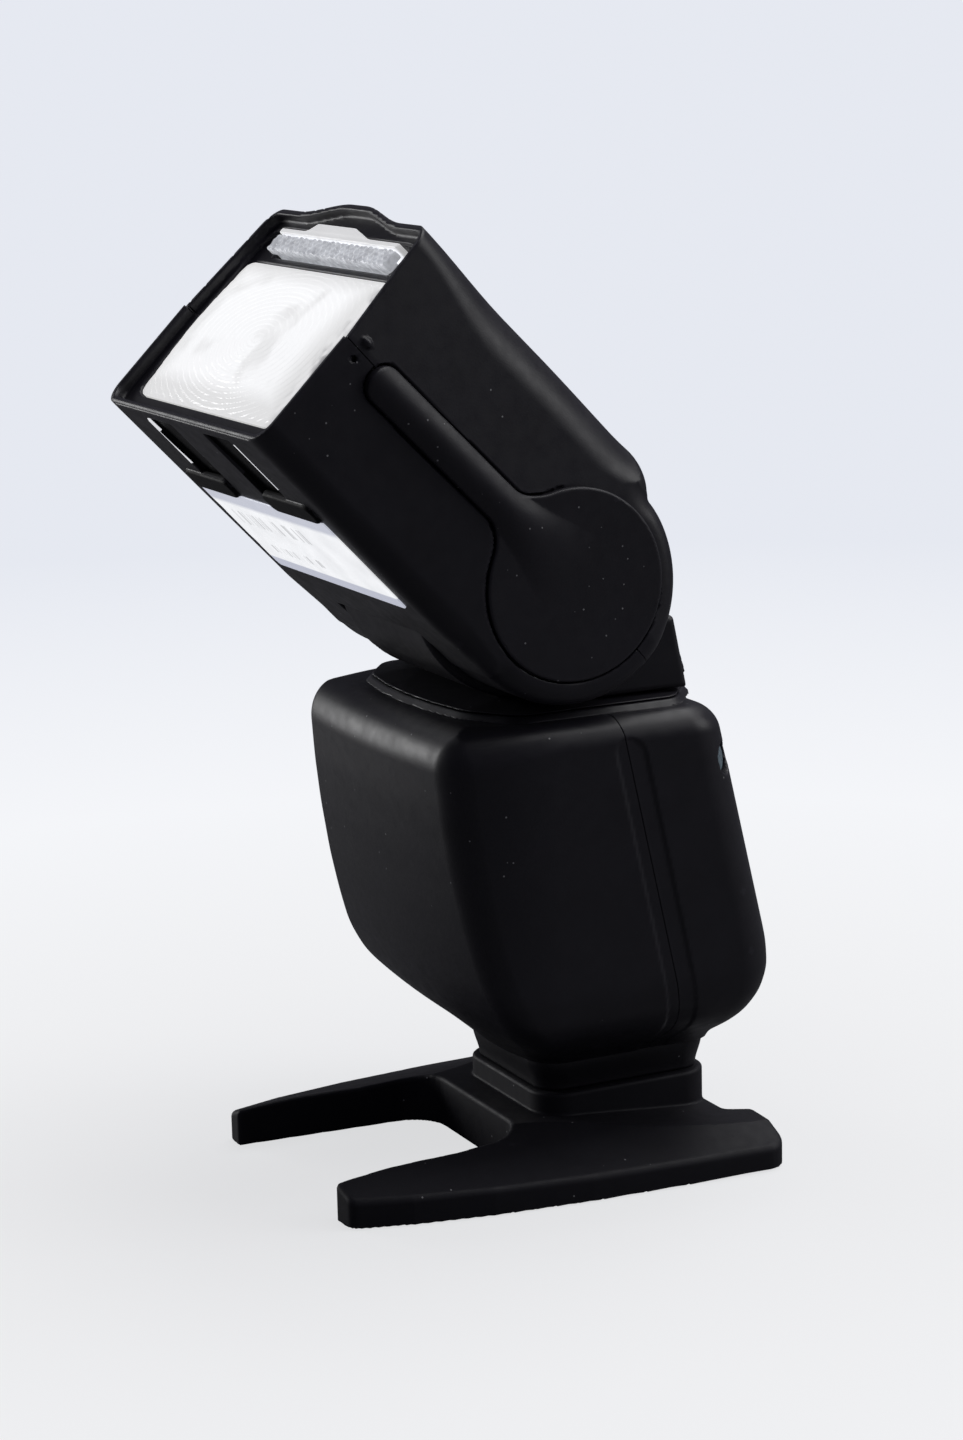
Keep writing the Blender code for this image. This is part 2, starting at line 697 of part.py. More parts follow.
neck_frame = frame("neck_frame", (0.0, 0.0, TILT_Z))
WEB_LOW = TURRET_HIGH + GAP - TILT_Z
WEB_OUTLINE = [
    (0.0, 0.0), (23.9, -4.2), (30.5, -12.2), (33.8, WEB_LOW), (-5.8, WEB_LOW),
]
neck_core = prism(
    "neck_core", circle(DRUM_RADIUS, 48), -DRUM_HALF, DRUM_HALF, "X", turret_black, neck_frame
)
join(
    neck_core,
    prism("web", WEB_OUTLINE, -DRUM_HALF + 0.1, DRUM_HALF - 0.1, "X", parent=neck_frame),
    prism("trunnion", circle(TRUNNION_RADIUS, 28), -TRUNNION_REACH, TRUNNION_REACH, "X", parent=neck_frame),
)
cut(
    neck_core,
    box("trim", (-40.0, -40.0, -60.0), (40.0, 60.0, WEB_LOW), parent=neck_frame),
    prism("wiring_bore", circle(3.6, 16), -40.0, 40.0, "X", parent=neck_frame),
)
DISC_LOW = 22.4
DISC_RADIUS = 13.0
CLICKS_DEG = (0.0, 45.0, 60.0, 75.0, 90.0)
tilt_detent_disc = prism(
    "tilt_detent_disc", circle(DISC_RADIUS, 32), DISC_LOW, DISC_LOW + 1.5, "X", steel, neck_frame
)
cut(
    tilt_detent_disc,
    prism("hole", circle(TRUNNION_RADIUS + 0.1, 28), 10.0, 40.0, "X", parent=neck_frame),
)
for click in CLICKS_DEG:
    angle = math.radians(click)
    notch = circle(0.9, 8, (-DISC_RADIUS * math.cos(angle), DISC_RADIUS * math.sin(angle)))
    cut(tilt_detent_disc, prism("notch", notch, 10.0, 40.0, "X", parent=neck_frame))

# ---------------------------------------------------------------- head shells
TOP_SIDE_ROUND = 8.8
BEZEL_ROUND = 4.2
UNDER_ROUND = 4.6
EAR_ROUND = 3.4
FRONT_ROUND = 0.5
EDGE_STEPS = 4
ARC_STEPS = 12


def head_profile(shrink, front_shrink):
    """(u, v, inset u, inset v, side retreat) round the head's side view.

    u runs forward from the tilt axis and v runs up. Each point states how far
    it moves in, and how far the side steps back, where the side is rounded off.
    """
    front = HEAD_FRONT - front_shrink
    top = HEAD_TOP - shrink
    ear = EAR_RADIUS - shrink
    low_front = HEAD_BOTTOM_FRONT + shrink
    low_rear = HEAD_BOTTOM_REAR + shrink
    ease = 1.0 - shrink / 10.0
    rows = []
    bezel = BEZEL_ROUND * ease
    under = UNDER_ROUND * ease
    side = TOP_SIDE_ROUND * ease
    rows.append((front, low_front, -FRONT_ROUND, under, under))
    rows.append((front, low_front + under + 1.0, -FRONT_ROUND, 0.0, FRONT_ROUND))
    rows.append((front, top - bezel - 1.0, -FRONT_ROUND, 0.0, FRONT_ROUND))
    rows.append((front, top, -FRONT_ROUND, -bezel, bezel))
    rows.append((front - 9.0, top, 0.0, -(bezel + side) / 2, (bezel + side) / 2))
    rows.append((front - 22.0, top, 0.0, -side, side))
    rows.append((6.0, top, 0.0, -side, side))
    rows.append((-1.6, top - 0.9, 0.6, -side * 0.8, side * 0.8))
    rows.append((-4.4, top - 3.6, 0.8, -side * 0.55, side * 0.6))
    start = math.degrees(math.acos(-5.6 / ear))
    end = 262.0
    for k in range(ARC_STEPS + 1):
        angle = math.radians(start + (end - start) * k / ARC_STEPS)
        u = ear * math.cos(angle)
        v = ear * math.sin(angle)
        reach = EAR_ROUND * ease
        rows.append((u, v, -reach * math.cos(angle), -reach * math.sin(angle), reach))
    rows.append((HEAD_UNDER_REAR * 0.4, low_rear + 0.1, 0.0, EAR_ROUND * ease, EAR_ROUND * ease))
    rows.append((HEAD_UNDER_REAR, low_rear, 0.0, under * 0.9, under * 0.9))
    return rows


def flared(x, u):
    """The head widens a little from the tilt axis towards the lens."""
    return x + math.copysign(HEAD_FLARE * max(u, 0.0), x)


def split_at(shape, place, normal):
    """Adds an edge loop where a plane crosses the mesh."""
    bmesh.ops.bisect_plane(
        shape,
        geom=shape.verts[:] + shape.edges[:] + shape.faces[:],
        plane_co=place,
        plane_no=normal,
    )


def head_solid(name, shrink, front_shrink):
    """The head's outside, or its hollow when shrink is above zero."""
    half = HEAD_HALF - shrink
    rows = head_profile(shrink, front_shrink)
    rings = []
    for side in (-1.0, 1.0):
        levels = range(EDGE_STEPS + 1) if side < 0 else range(EDGE_STEPS, -1, -1)
        for level in levels:
            angle = math.radians(90 * level / EDGE_STEPS)
            keep = 1 - math.sin(angle)
            ring = []
            for u, v, in_u, in_v, retreat in rows:
                x = side * (half - retreat * (1 - math.cos(angle)))
                ring.append((x, -(u + in_u * keep), v + in_v * keep))
            rings.append(ring)
    made = loft(name, rings, parent=tilt_frame)
    shape = bmesh.new()
    shape.from_mesh(made.data)
    split_at(shape, (0.0, 0.0, HEAD_TAPER_FROM * MM), (0.0, 0.0, 1.0))
    split_at(shape, (0.0, 0.0, 0.0), (0.0, 1.0, 0.0))
    for vert in shape.verts:
        above = vert.co.z / MM - HEAD_TAPER_FROM
        vert.co.x = flared(vert.co.x / MM, -vert.co.y / MM) * MM
        if above > 0:
            vert.co.x *= 1 - HEAD_TAPER * above
    shape.to_mesh(made.data)
    shape.free()
    return made


def sector(name, radius, first_deg, last_deg, half):
    """Everything but the part of the head in front of the drum."""
    outline = []
    for k in range(17):
        angle = math.radians(first_deg + (last_deg - first_deg) * k / 16)
        outline.append((radius * math.cos(angle), radius * math.sin(angle)))
    for degrees in (last_deg, 150.0, 200.0, 250.0, 360.0 + first_deg):
        angle = math.radians(degrees)
        outline.append((70.0 * math.cos(angle), 70.0 * math.sin(angle)))
    return prism(name, outline, -half, half, "H", parent=tilt_frame)


MOUTH_FIRST = -58.0
MOUTH_LAST = 98.0
WALL_TURN = 4.4


def head_box(name, low, high, paint=None):
    """A box in head terms: x, u forward, v up."""
    return box(name, (low[0], -high[1], low[2]), (high[0], -low[1], high[2]), paint, tilt_frame)


RIM_DEPTH = 2.2
RIM_WALL = 1.3
PLATE_DEPTH = 4.3
head_shells = head_solid("head_shells", 0.0, 0.0)
BUMP = [
    (-22.0, 26.4), (-18.0, 28.2), (-12.0, 30.0), (-5.0, 30.8), (5.0, 30.8), (12.0, 30.0),
    (18.0, 28.2), (22.0, 26.4),
]
join(
    head_shells,
    loft(
        "bump",
        [
            [(x, -HEAD_FRONT, v) for x, v in BUMP],
            [(x, -HEAD_FRONT + 7.0, v) for x, v in BUMP],
            [(x * 0.9, -HEAD_FRONT + 17.0, 26.4 + (v - 26.4) * 0.35) for x, v in BUMP],
        ],
        parent=tilt_frame,
    ),
)
cavity = head_solid("cavity", WALL, PLATE_DEPTH)
wall_first = MOUTH_FIRST + WALL_TURN
wall_last = MOUTH_LAST - WALL_TURN
cut(cavity, sector("mouth", MOUTH_RADIUS + WALL, wall_first, wall_last, MOUTH_HALF + WALL))
cut(head_shells, cavity, sector("mouth", MOUTH_RADIUS, MOUTH_FIRST, MOUTH_LAST, MOUTH_HALF))
LENS_HALF = 33.6
LENS_LOW = -17.2
LENS_HIGH = 16.4
SHELF_HIGH = 18.7
PANEL_HALF = 26.6
SLOT_HIGH = 24.5
rim_space = head_solid("rim_space", RIM_WALL, RIM_WALL)
rim_space.location.y = -5.0 * MM
cut(rim_space, head_box("behind", (-60.0, -60.0, -60.0), (60.0, HEAD_FRONT - RIM_DEPTH, 60.0)))
join(
    head_shells,
    head_box("shelf", (-33.4, 31.0, SHELF_HIGH - 1.5), (33.4, 62.0, SHELF_HIGH)),
)
cut(
    head_shells,
    rim_space,
    head_box("window", (-LENS_HALF - GAP, 57.0, LENS_LOW - GAP), (LENS_HALF + GAP, 70.0, LENS_HIGH + GAP)),
    head_box("slot", (-PANEL_HALF - GAP, 60.0, SHELF_HIGH), (PANEL_HALF + GAP, 70.0, SLOT_HIGH)),
    head_box("notch", (-16.5, 57.0, 23.0), (16.5, 70.0, 26.8)),
    prism("axle_hole", circle(TRUNNION_RADIUS + 0.25, 28), -28.0, 28.0, "H", parent=tilt_frame),
)
CHANNEL_X = 15.0
for x in (-CHANNEL_X, CHANNEL_X):
    cut(head_shells, head_box("channel", (x - 3.0, 46.0, -26.0), (x + 3.0, 63.0, -21.4)))

COVER_ARM_HIGH = 4.5
COVER_ARM_LOW = -2.6
COVER_RADIUS = 17.9
COVER_TIP = 57.6


def cover_outline(grow):
    """The keyhole outline of a side cover: a disc on the axis and an arm."""
    radius = COVER_RADIUS + grow
    high = COVER_ARM_HIGH + grow
    low = COVER_ARM_LOW - grow
    first = math.degrees(math.asin(high / radius)) + 6.0
    last = 360.0 + math.degrees(math.asin(low / radius)) - 6.0
    outline = []
    for k in range(25):
        angle = math.radians(first + (last - first) * k / 24)
        outline.append((radius * math.cos(angle), radius * math.sin(angle)))
    tip = COVER_TIP + grow
    outline += [(radius + 2.6, low), (tip - 2.4, low), (tip - 0.5, low + 1.1), (tip, low + 3.0)]
    outline += [(tip, high - 2.2), (tip - 0.6, high - 0.7), (tip - 2.0, high), (radius + 2.6, high)]
    return outline


COVER_FACE = 37.3
COVER_BACK = 35.8


def cover_solid(name, grow, side, back, face, paint=None):
    """A side cover, or its recess, leaning out with the head's flare."""
    ends = sorted((side * back, side * face))
    made = prism(name, cover_outline(grow), ends[0], ends[1], "H", paint, tilt_frame)
    shape = bmesh.new()
    shape.from_mesh(made.data)
    split_at(shape, (0.0, 0.0, 0.0), (0.0, 1.0, 0.0))
    for vert in shape.verts:
        vert.co.x = flared(vert.co.x / MM, -vert.co.y / MM) * MM
    shape.to_mesh(made.data)
    shape.free()
    return made


for side in (-1.0, 1.0):
    cut(head_shells, cover_solid("recess", GAP, side, COVER_BACK - GAP, 45.0))

head_upper = copy_of(head_shells, "head_upper_shell")
head_lower = head_shells
head_lower.name = "head_lower_shell"


def seam_half(name, upper):
    """Everything above, or below, the long seam of the head."""
    shift = GAP / 2 if upper else -GAP / 2
    slope = (SEAM_V_FRONT - SEAM_V_REAR) / 84.0
    far = 90.0 if upper else -90.0
    outline = [
        (90.0, SEAM_V_FRONT + slope * (90.0 - 62.0) + shift),
        (-60.0, SEAM_V_FRONT - slope * (62.0 + 60.0) + shift),
        (-60.0, far),
        (90.0, far),
    ]
    return prism(name, outline, -60.0, 60.0, "H", parent=tilt_frame)


boolean(head_upper, seam_half("half", True), "INTERSECT")
boolean(head_lower, seam_half("half", False), "INTERSECT")
DOME_U = 44.2
for x in (-CHANNEL_X, CHANNEL_X):
    dome = []
    for k in range(4):
        angle = math.radians(90 * k / 3)
        shrunk = math.cos(angle) + 0.02
        ring = [(a * 2.2 * shrunk, b * shrunk) for a, b in circle(3.4, 16)]
        dome.append(laid(ring, -21.0 - 3.4 * math.sin(angle), "Z"))
    join(head_lower, loft("dome", dome, parent=tilt_frame, place=(x, -DOME_U, 0.0)))
for shell in (head_upper, head_lower):
    shell.data.materials.clear()
    shell.data.materials.append(shell_black)
for side, name in ((1.0, "side_cover_near"), (-1.0, "side_cover_far")):
    cover_solid(name, 0.0, side, COVER_BACK, COVER_FACE, cover_black)

# ---------------------------------------------------------------- head front
LENS_BACK = 60.8
LENS_FACE = 62.8
LENS_BULGE = 1.0
lens_side = [(LENS_BACK, LENS_LOW), (LENS_FACE, LENS_LOW)]
for k in range(1, 6):
    share = k / 6
    lens_v = LENS_LOW + (LENS_HIGH - LENS_LOW) * share
    lens_side.append((LENS_FACE + LENS_BULGE * math.sin(math.pi * share), lens_v))
lens_side += [(LENS_FACE, LENS_HIGH), (LENS_BACK, LENS_HIGH)]
prism("fresnel_lens", lens_side, -LENS_HALF, LENS_HALF, "H", lens_clear, tilt_frame)
WIDE_LOW = SHELF_HIGH + GAP
wide_panel = head_box(
    "wide_panel", (-PANEL_HALF, 62.4, WIDE_LOW), (PANEL_HALF, 64.3, 22.6), panel_clear
)
join(
    wide_panel,
    head_box("plate", (-PANEL_HALF + 0.2, 32.0, WIDE_LOW + 0.3), (PANEL_HALF - 0.2, 63.4, 21.4)),
)
catchlight_panel = head_box(
    "catchlight_panel", (-PANEL_HALF, 32.0, 22.9), (PANEL_HALF, 64.5, 24.1), panel_white
)
TAB = [(-16.0, 23.2), (16.0, 23.2), (5.0, 26.2), (-14.0, 26.2)]
join(catchlight_panel, prism("tab", TAB, -64.4, -62.2, "Y", parent=tilt_frame))
LABEL_REAR = 16.0
LABEL_FRONT = 40.2
LABEL_HALF = 30.0
LABEL_NEAR = 0.15
LABEL_FAR = 0.35
label_slope = (HEAD_BOTTOM_FRONT - HEAD_BOTTOM_REAR) / (HEAD_FRONT - HEAD_UNDER_REAR)
label_rear_v = HEAD_BOTTOM_REAR + label_slope * (LABEL_REAR - HEAD_UNDER_REAR)
label_front_v = HEAD_BOTTOM_REAR + label_slope * (LABEL_FRONT - HEAD_UNDER_REAR)
label_profile = [
    (LABEL_REAR, label_rear_v - LABEL_FAR),
    (LABEL_FRONT, label_front_v - LABEL_FAR),
    (LABEL_FRONT, label_front_v - LABEL_NEAR),
    (LABEL_REAR, label_rear_v - LABEL_NEAR),
]
prism("underside_label", label_profile, -LABEL_HALF, LABEL_HALF, "H", label_silver, tilt_frame)

# ---------------------------------------------------------------- zoom mechanism
CHASSIS_REAR = 27.4
CHASSIS_FRONT = 60.4
ZOOM_V = -0.5
SCREW_AT = (26.6, -12.6)
ROD_AT = ((-26.8, -12.6), (26.8, 12.4))
zoom_chassis = head_box(
    "zoom_chassis", (-31.2, CHASSIS_REAR, -17.6), (31.2, CHASSIS_FRONT, 16.6), inner_plastic
)
cut(
    zoom_chassis,
    head_box("hollow", (-30.0, CHASSIS_REAR + 1.2, -16.4), (30.0, CHASSIS_FRONT - 1.0, 30.0)),
    head_box("front_opening", (-24.8, 50.0, -12.6), (24.8, 70.0, 30.0)),
    head_box("rear_opening", (-20.0, 10.0, -9.0), (20.0, 40.0, 30.0)),
)


def along_head(name, at, radius, low, high, count, paint=None):
    """A rod along the head: at is (x, v), low and high are u."""
    return prism(
        name, circle(radius, count, (at[0], at[1])), -high, -low, "Y", paint, tilt_frame
    )


for at in ROD_AT:
    cut(zoom_chassis, along_head("hole", at, 1.3, 20.0, 70.0, 12))
cut(zoom_chassis, along_head("hole", SCREW_AT, 2.0, 20.0, 70.0, 16))
along_head("guide_rod_low", ROD_AT[0], 1.1, CHASSIS_REAR, CHASSIS_FRONT - 0.2, 12, steel)
along_head("guide_rod_high", ROD_AT[1], 1.1, CHASSIS_REAR, CHASSIS_FRONT - 0.2, 12, steel)
prism(
    "lead_screw", circle(1.5, 14), -(CHASSIS_FRONT - 0.2), -25.6, "Y", steel, tilt_frame,
    (SCREW_AT[0], 0.0, SCREW_AT[1]),
)
zoom_motor = along_head("zoom_motor", SCREW_AT, 5.2, 12.0, 27.0, 20, bright_metal)
cut(zoom_motor, along_head("hole", SCREW_AT, 1.8, 25.2, 30.0, 16))
CARRIAGE_LOW = 35.5
CARRIAGE_HIGH = 38.5
zoom_carriage = head_box(
    "zoom_carriage", (-29.4, CARRIAGE_LOW, -15.8), (29.4, CARRIAGE_HIGH, 15.2), inner_plastic
)
cut(zoom_carriage, head_box("opening", (-21.7, 30.0, ZOOM_V - 7.0), (21.7, 50.0, ZOOM_V + 7.0)))
for at in ROD_AT:
    cut(zoom_carriage, along_head("hole", at, 1.4, 20.0, 70.0, 12))
cut(zoom_carriage, along_head("hole", SCREW_AT, 1.8, 20.0, 70.0, 14))


def bowl(name, grow, rear, front, paint=None):
    """The reflector's flared box, v centred a little above the axis."""
    rings = []
    for u, half, tall in ((rear, 21.0, 5.4), (43.0, 22.4, 8.2), (front, 24.0, 11.6)):
        outline = rounded_box(half + grow, -tall - grow, tall + grow, 2.0, 2)
        rings.append([(x, -u, v + ZOOM_V) for x, v in outline])
    return loft(name, rings, paint, tilt_frame)


reflector = bowl("reflector", 0.0, 36.5, 50.0, bright_metal)
inside = bowl("inside", -0.8, 37.3, 50.6)
TUBE_AT = (41.2, ZOOM_V)
tube_hole = prism("tube_hole", circle(2.4, 14, TUBE_AT), -40.0, 40.0, "H", parent=tilt_frame)
cut(reflector, inside, tube_hole)
prism("flash_tube", circle(2.0, 14, TUBE_AT), -25.5, 25.5, "H", tube_glass, tilt_frame)

# ---------------------------------------------------------------- mini stand
STAND_CORNERS = mirrored(
    [
        (24.9, -45.6, 1.6), (29.6, -45.2, 1.8), (33.3, -34.0, 0.0), (36.4, -18.5, 0.0),
        (38.7, 1.0, 0.0), (39.8, 21.0, 0.0), (40.3, 42.8, 4.2), (25.0, 43.6, 1.6), (22.6, 38.6, 1.4),
    ]
)
ROOT_CORNERS = [(-21.0, -5.2, 7.5), (21.0, -5.2, 7.5), (24.9, -60.0, 0.0), (-24.9, -60.0, 0.0)]
DECK_CORNERS_LOW = [(-37.6, -30.0, 6.0), (37.6, -30.0, 6.0), (38.6, 42.5, 3.0), (-38.6, 42.5, 3.0)]
DECK_CORNERS_HIGH = [(-23.0, -8.0, 5.0), (23.0, -8.0, 5.0), (23.0, 40.0, 3.0), (-23.0, 40.0, 3.0)]

stand_outline = rounded(STAND_CORNERS, 3)
mini_stand = prism("mini_stand", stand_outline, 0.0, STAND_EDGE, "Z", stand_black)
deck = loft(
    "deck",
    [
        laid(rounded(DECK_CORNERS_LOW, 3), STAND_EDGE - 0.4, "Z"),
        laid(rounded(DECK_CORNERS_HIGH, 3), STAND_DECK, "Z"),
    ],
)
inner_outline = [(x * 0.985, y) for x, y in stand_outline]
boolean(deck, prism("edge", inner_outline, 0.0, 30.0, "Z"), "INTERSECT")
join(
    mini_stand,
    deck,
    prism("block", rounded_box(18.2, 1.0, 38.8, 6.5, 4), 4.0, BLOCK_TOP, "Z"),
)
SLOT_HALF = SHOE_WIDTH / 2 + GAP
SLOT_FRONT = SHOE_FRONT - GAP
SLOT_TOP = SHOE_LOW + SHOE_THICK + 0.35
SOCKET_RADIUS = 5.2
SOCKET_Y = 4.0
THREAD_RADIUS = 3.1
cut(
    mini_stand,
    prism("root", rounded(ROOT_CORNERS, 4), -5.0, 30.0, "Z"),
    box("shoe_slot", (-SLOT_HALF, SLOT_FRONT, SHOE_LOW - GAP), (SLOT_HALF, 60.0, SLOT_TOP)),
    box("neck_slot", (-PEDESTAL_HALF - GAP, 10.6, 11.0), (PEDESTAL_HALF + GAP, 60.0, 30.0)),
    box("pin_groove", (-PIN_RADIUS - 0.4, PIN_Y - 1.8, 7.8), (PIN_RADIUS + 0.4, 60.0, 14.0)),
    prism("socket", circle(SOCKET_RADIUS + GAP, 24, (0.0, SOCKET_Y)), -2.0, 7.0, "Z"),
)
tripod_insert = prism(
    "tripod_insert", circle(SOCKET_RADIUS, 24, (0.0, SOCKET_Y)), 0.0, 6.5, "Z", brass
)
cut(tripod_insert, prism("thread_hole", circle(THREAD_RADIUS, 20, (0.0, SOCKET_Y)), -2.0, 5.5, "Z"))

bpy.data.objects.remove(outer)
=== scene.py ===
"""The looks of the speedlight flash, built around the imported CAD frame.

Shells are made as smooth distance fields and turned into fine meshes, so that every edge,
fillet and recess has a real radius. Fields work in millimetres; each one is laid in the
frame of the joint or panel it belongs to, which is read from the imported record.
"""
import json
import math

import bpy
import numpy as np
from mathutils import Matrix, Vector


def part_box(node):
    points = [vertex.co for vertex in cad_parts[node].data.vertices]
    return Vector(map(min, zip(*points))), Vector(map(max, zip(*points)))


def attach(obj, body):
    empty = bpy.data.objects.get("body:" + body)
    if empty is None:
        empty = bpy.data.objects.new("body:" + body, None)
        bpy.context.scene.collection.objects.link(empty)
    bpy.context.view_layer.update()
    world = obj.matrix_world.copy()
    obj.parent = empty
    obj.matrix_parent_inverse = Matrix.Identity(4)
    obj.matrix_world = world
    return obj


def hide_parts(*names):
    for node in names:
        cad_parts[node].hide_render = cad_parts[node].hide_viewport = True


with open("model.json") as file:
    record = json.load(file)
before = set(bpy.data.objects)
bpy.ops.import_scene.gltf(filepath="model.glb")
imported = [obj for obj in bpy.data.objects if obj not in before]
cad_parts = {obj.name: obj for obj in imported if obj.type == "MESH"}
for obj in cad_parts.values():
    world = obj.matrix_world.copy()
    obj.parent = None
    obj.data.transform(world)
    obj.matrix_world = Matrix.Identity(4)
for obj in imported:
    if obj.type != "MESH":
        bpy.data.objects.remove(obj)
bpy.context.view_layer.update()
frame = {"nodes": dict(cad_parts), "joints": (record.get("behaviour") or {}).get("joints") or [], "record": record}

MM = 0.001
GAP = 0.3
JOINTS = {joint["name"]: joint for joint in frame["joints"]}


# ------------------------------------------------------------------ frames
def laid(origin, first, second, third):
    """Matrix from local millimetres to the row frame's metres."""
    columns = [Vector(axis).normalized() * MM for axis in (first, second, third)]
    made = Matrix(columns).transposed().to_4x4()
    made.translation = Vector(origin)
    return made


X_AXIS = Vector((1.0, 0.0, 0.0))
WORLD = laid((0, 0, 0), X_AXIS, (0, 1, 0), (0, 0, 1))
TILT_AT = Vector(JOINTS["head_tilt"]["pos_m"])
HEAD_FORWARD = Vector(JOINTS["zoom_slide"]["axis"]).normalized()
HEAD_UP = HEAD_FORWARD.cross(X_AXIS)
HEAD = laid(TILT_AT, X_AXIS, HEAD_FORWARD, HEAD_UP)
NECK = laid(TILT_AT, X_AXIS, (0, 1, 0), (0, 0, 1))
PANEL_OUT = Vector(JOINTS["select_dial_turn"]["axis"]).normalized()
PANEL_DOWN = PANEL_OUT.cross(X_AXIS)
DIAL_AT = Vector(JOINTS["select_dial_turn"]["pos_m"])
DIAL_DROP = 15.2
PANEL_AT = DIAL_AT - PANEL_DOWN * DIAL_DROP * MM
PANEL = laid(PANEL_AT, X_AXIS, PANEL_DOWN, PANEL_OUT)
DOOR_UP = Vector(JOINTS["battery_door_hinge"]["axis"]).normalized()
DOOR_BACK = DOOR_UP.cross(X_AXIS)
DOOR_AT = Vector(JOINTS["battery_door_hinge"]["pos_m"])
DOOR = laid(DOOR_AT, X_AXIS, DOOR_BACK, DOOR_UP)
SWIVEL_Y = JOINTS["head_swivel"]["pos_m"][1] / MM


def around(node_name, below, above):
    """A CAD node's box in millimetres, grown by a margin at each end."""
    low, high = (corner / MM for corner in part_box(node_name))
    return ([value - margin for value, margin in zip(low, below)],
            [value + margin for value, margin in zip(high, above)])


def local(place, x, y, z):
    """A point of the row frame, in millimetres, seen in another frame."""
    back = place.inverted()
    return [
        back[row][0] * x * MM + back[row][1] * y * MM + back[row][2] * z * MM + back[row][3]
        for row in range(3)
    ]


# ------------------------------------------------------------------ distance fields
def overlap(a, b, radius):
    """Where both regions are, with the edge between them rounded."""
    a = a + radius
    b = b + radius
    corner = np.hypot(np.maximum(a, 0.0), np.maximum(b, 0.0))
    return np.minimum(np.maximum(a, b), 0.0) + corner - radius


def merged(a, b, radius):
    """Where either region is, with the inner corner between them filled."""
    return -overlap(-a, -b, radius)


def carved(a, b, radius):
    """The first region without the second."""
    return overlap(a, -b, radius)


def span(value, low, high):
    return np.maximum(low - value, value - high)


def rounded_rect(x, y, half_x, half_y, radius):
    return overlap(np.abs(x) - half_x, np.abs(y) - half_y, radius)


def bar(across, half, along, low, high, radius):
    """A rounded rectangle, centred in one direction and given by its ends in the other."""
    return rounded_rect(across, along - (low + high) / 2, half, (high - low) / 2, radius)


def smooth(value, low, high):
    """From 0 at low to 1 at high, easing at both ends."""
    t = np.clip((value - low) / (high - low), 0.0, 1.0)
    return t * t * (3.0 - 2.0 * t)


def outline_field(x, y, corners):
    """Signed distance to a closed outline, below zero inside it."""
    nearest = np.full(np.broadcast(x, y).shape, 1e9)
    inside = np.zeros(nearest.shape, bool)
    for (ax, ay), (bx, by) in zip(corners, corners[1:] + corners[:1]):
        run, rise = bx - ax, by - ay
        share = ((x - ax) * run + (y - ay) * rise) / (run * run + rise * rise)
        share = np.clip(share, 0.0, 1.0)
        nearest = np.minimum(nearest, (x - ax - share * run) ** 2 + (y - ay - share * rise) ** 2)
        if abs(rise) > 1e-9:
            inside ^= ((ay > y) != (by > y)) & (x < ax + (y - ay) * run / rise)
    return np.where(inside, -1.0, 1.0) * np.sqrt(nearest)


def arced(corners, steps=8):
    """An outline whose corners, given as (x, y, radius), become arcs."""
    outline = []
    for i, (x, y, radius) in enumerate(corners):
        corner = Vector((x, y))
        if radius <= 0:
            outline.append((x, y))
            continue
        back = (Vector(corners[i - 1][:2]) - corner).normalized()
        ahead = (Vector(corners[(i + 1) % len(corners)][:2]) - corner).normalized()
        half = back.angle(ahead) / 2
        centre = corner + (back + ahead).normalized() * (radius / math.sin(half))
        start = corner + back * (radius / math.tan(half)) - centre
        end = corner + ahead * (radius / math.tan(half)) - centre
        first = math.atan2(start.y, start.x)
        sweep = (math.atan2(end.y, end.x) - first + math.pi) % (2 * math.pi) - math.pi
        for k in range(steps + 1):
            angle = first + sweep * k / steps
            outline.append((centre.x + radius * math.cos(angle), centre.y + radius * math.sin(angle)))
    return outline


def mirrored(half_corners):
    return half_corners + [(-x, y, radius) for x, y, radius in reversed(half_corners)]


def eased(stations, blur):
    """A smooth function through (place, value) stations."""
    places, values = (np.array(column, float) for column in zip(*stations))
    reach = 6.0 * blur
    first = (values[1] - values[0]) / (places[1] - places[0])
    last = (values[-1] - values[-2]) / (places[-1] - places[-2])
    places = np.concatenate([[places[0] - reach], places, [places[-1] + reach]])
    values = np.concatenate([[values[0] - first * reach], values, [values[-1] + last * reach]])
    fine = np.linspace(places[0], places[-1], 1201)
    spread = np.exp(-0.5 * ((fine - fine.mean()) / blur) ** 2)
    exact = np.interp(fine, places, values)
    weight = np.convolve(np.ones(len(fine)), spread, "same")
    blurred = np.convolve(exact, spread, "same") / weight
    return lambda place: np.interp(place, fine, blurred)


# ------------------------------------------------------------------ meshes
UNITS = np.eye(3, dtype=int)
SLOPE_REACH = 0.12
CREASE_REACH = 0.6


def crossings(value, cells):
    """The middle of the places where the field changes sign, in each cell."""
    total = np.zeros(cells.shape)
    hits = np.zeros(len(cells))
    for axis in range(3):
        across = [UNITS[k] for k in range(3) if k != axis]
        for i in (0, 1):
            for j in (0, 1):
                start = cells + i * across[0] + j * across[1]
                here = value[tuple(start.T)].astype(float)
                there = value[tuple((start + UNITS[axis]).T)].astype(float)
                changes = (here < 0) != (there < 0)
                share = here / np.where(changes, here - there, 1.0)
                total += changes[:, None] * (start + share[:, None] * UNITS[axis])
                hits += changes
    return total / hits[:, None]


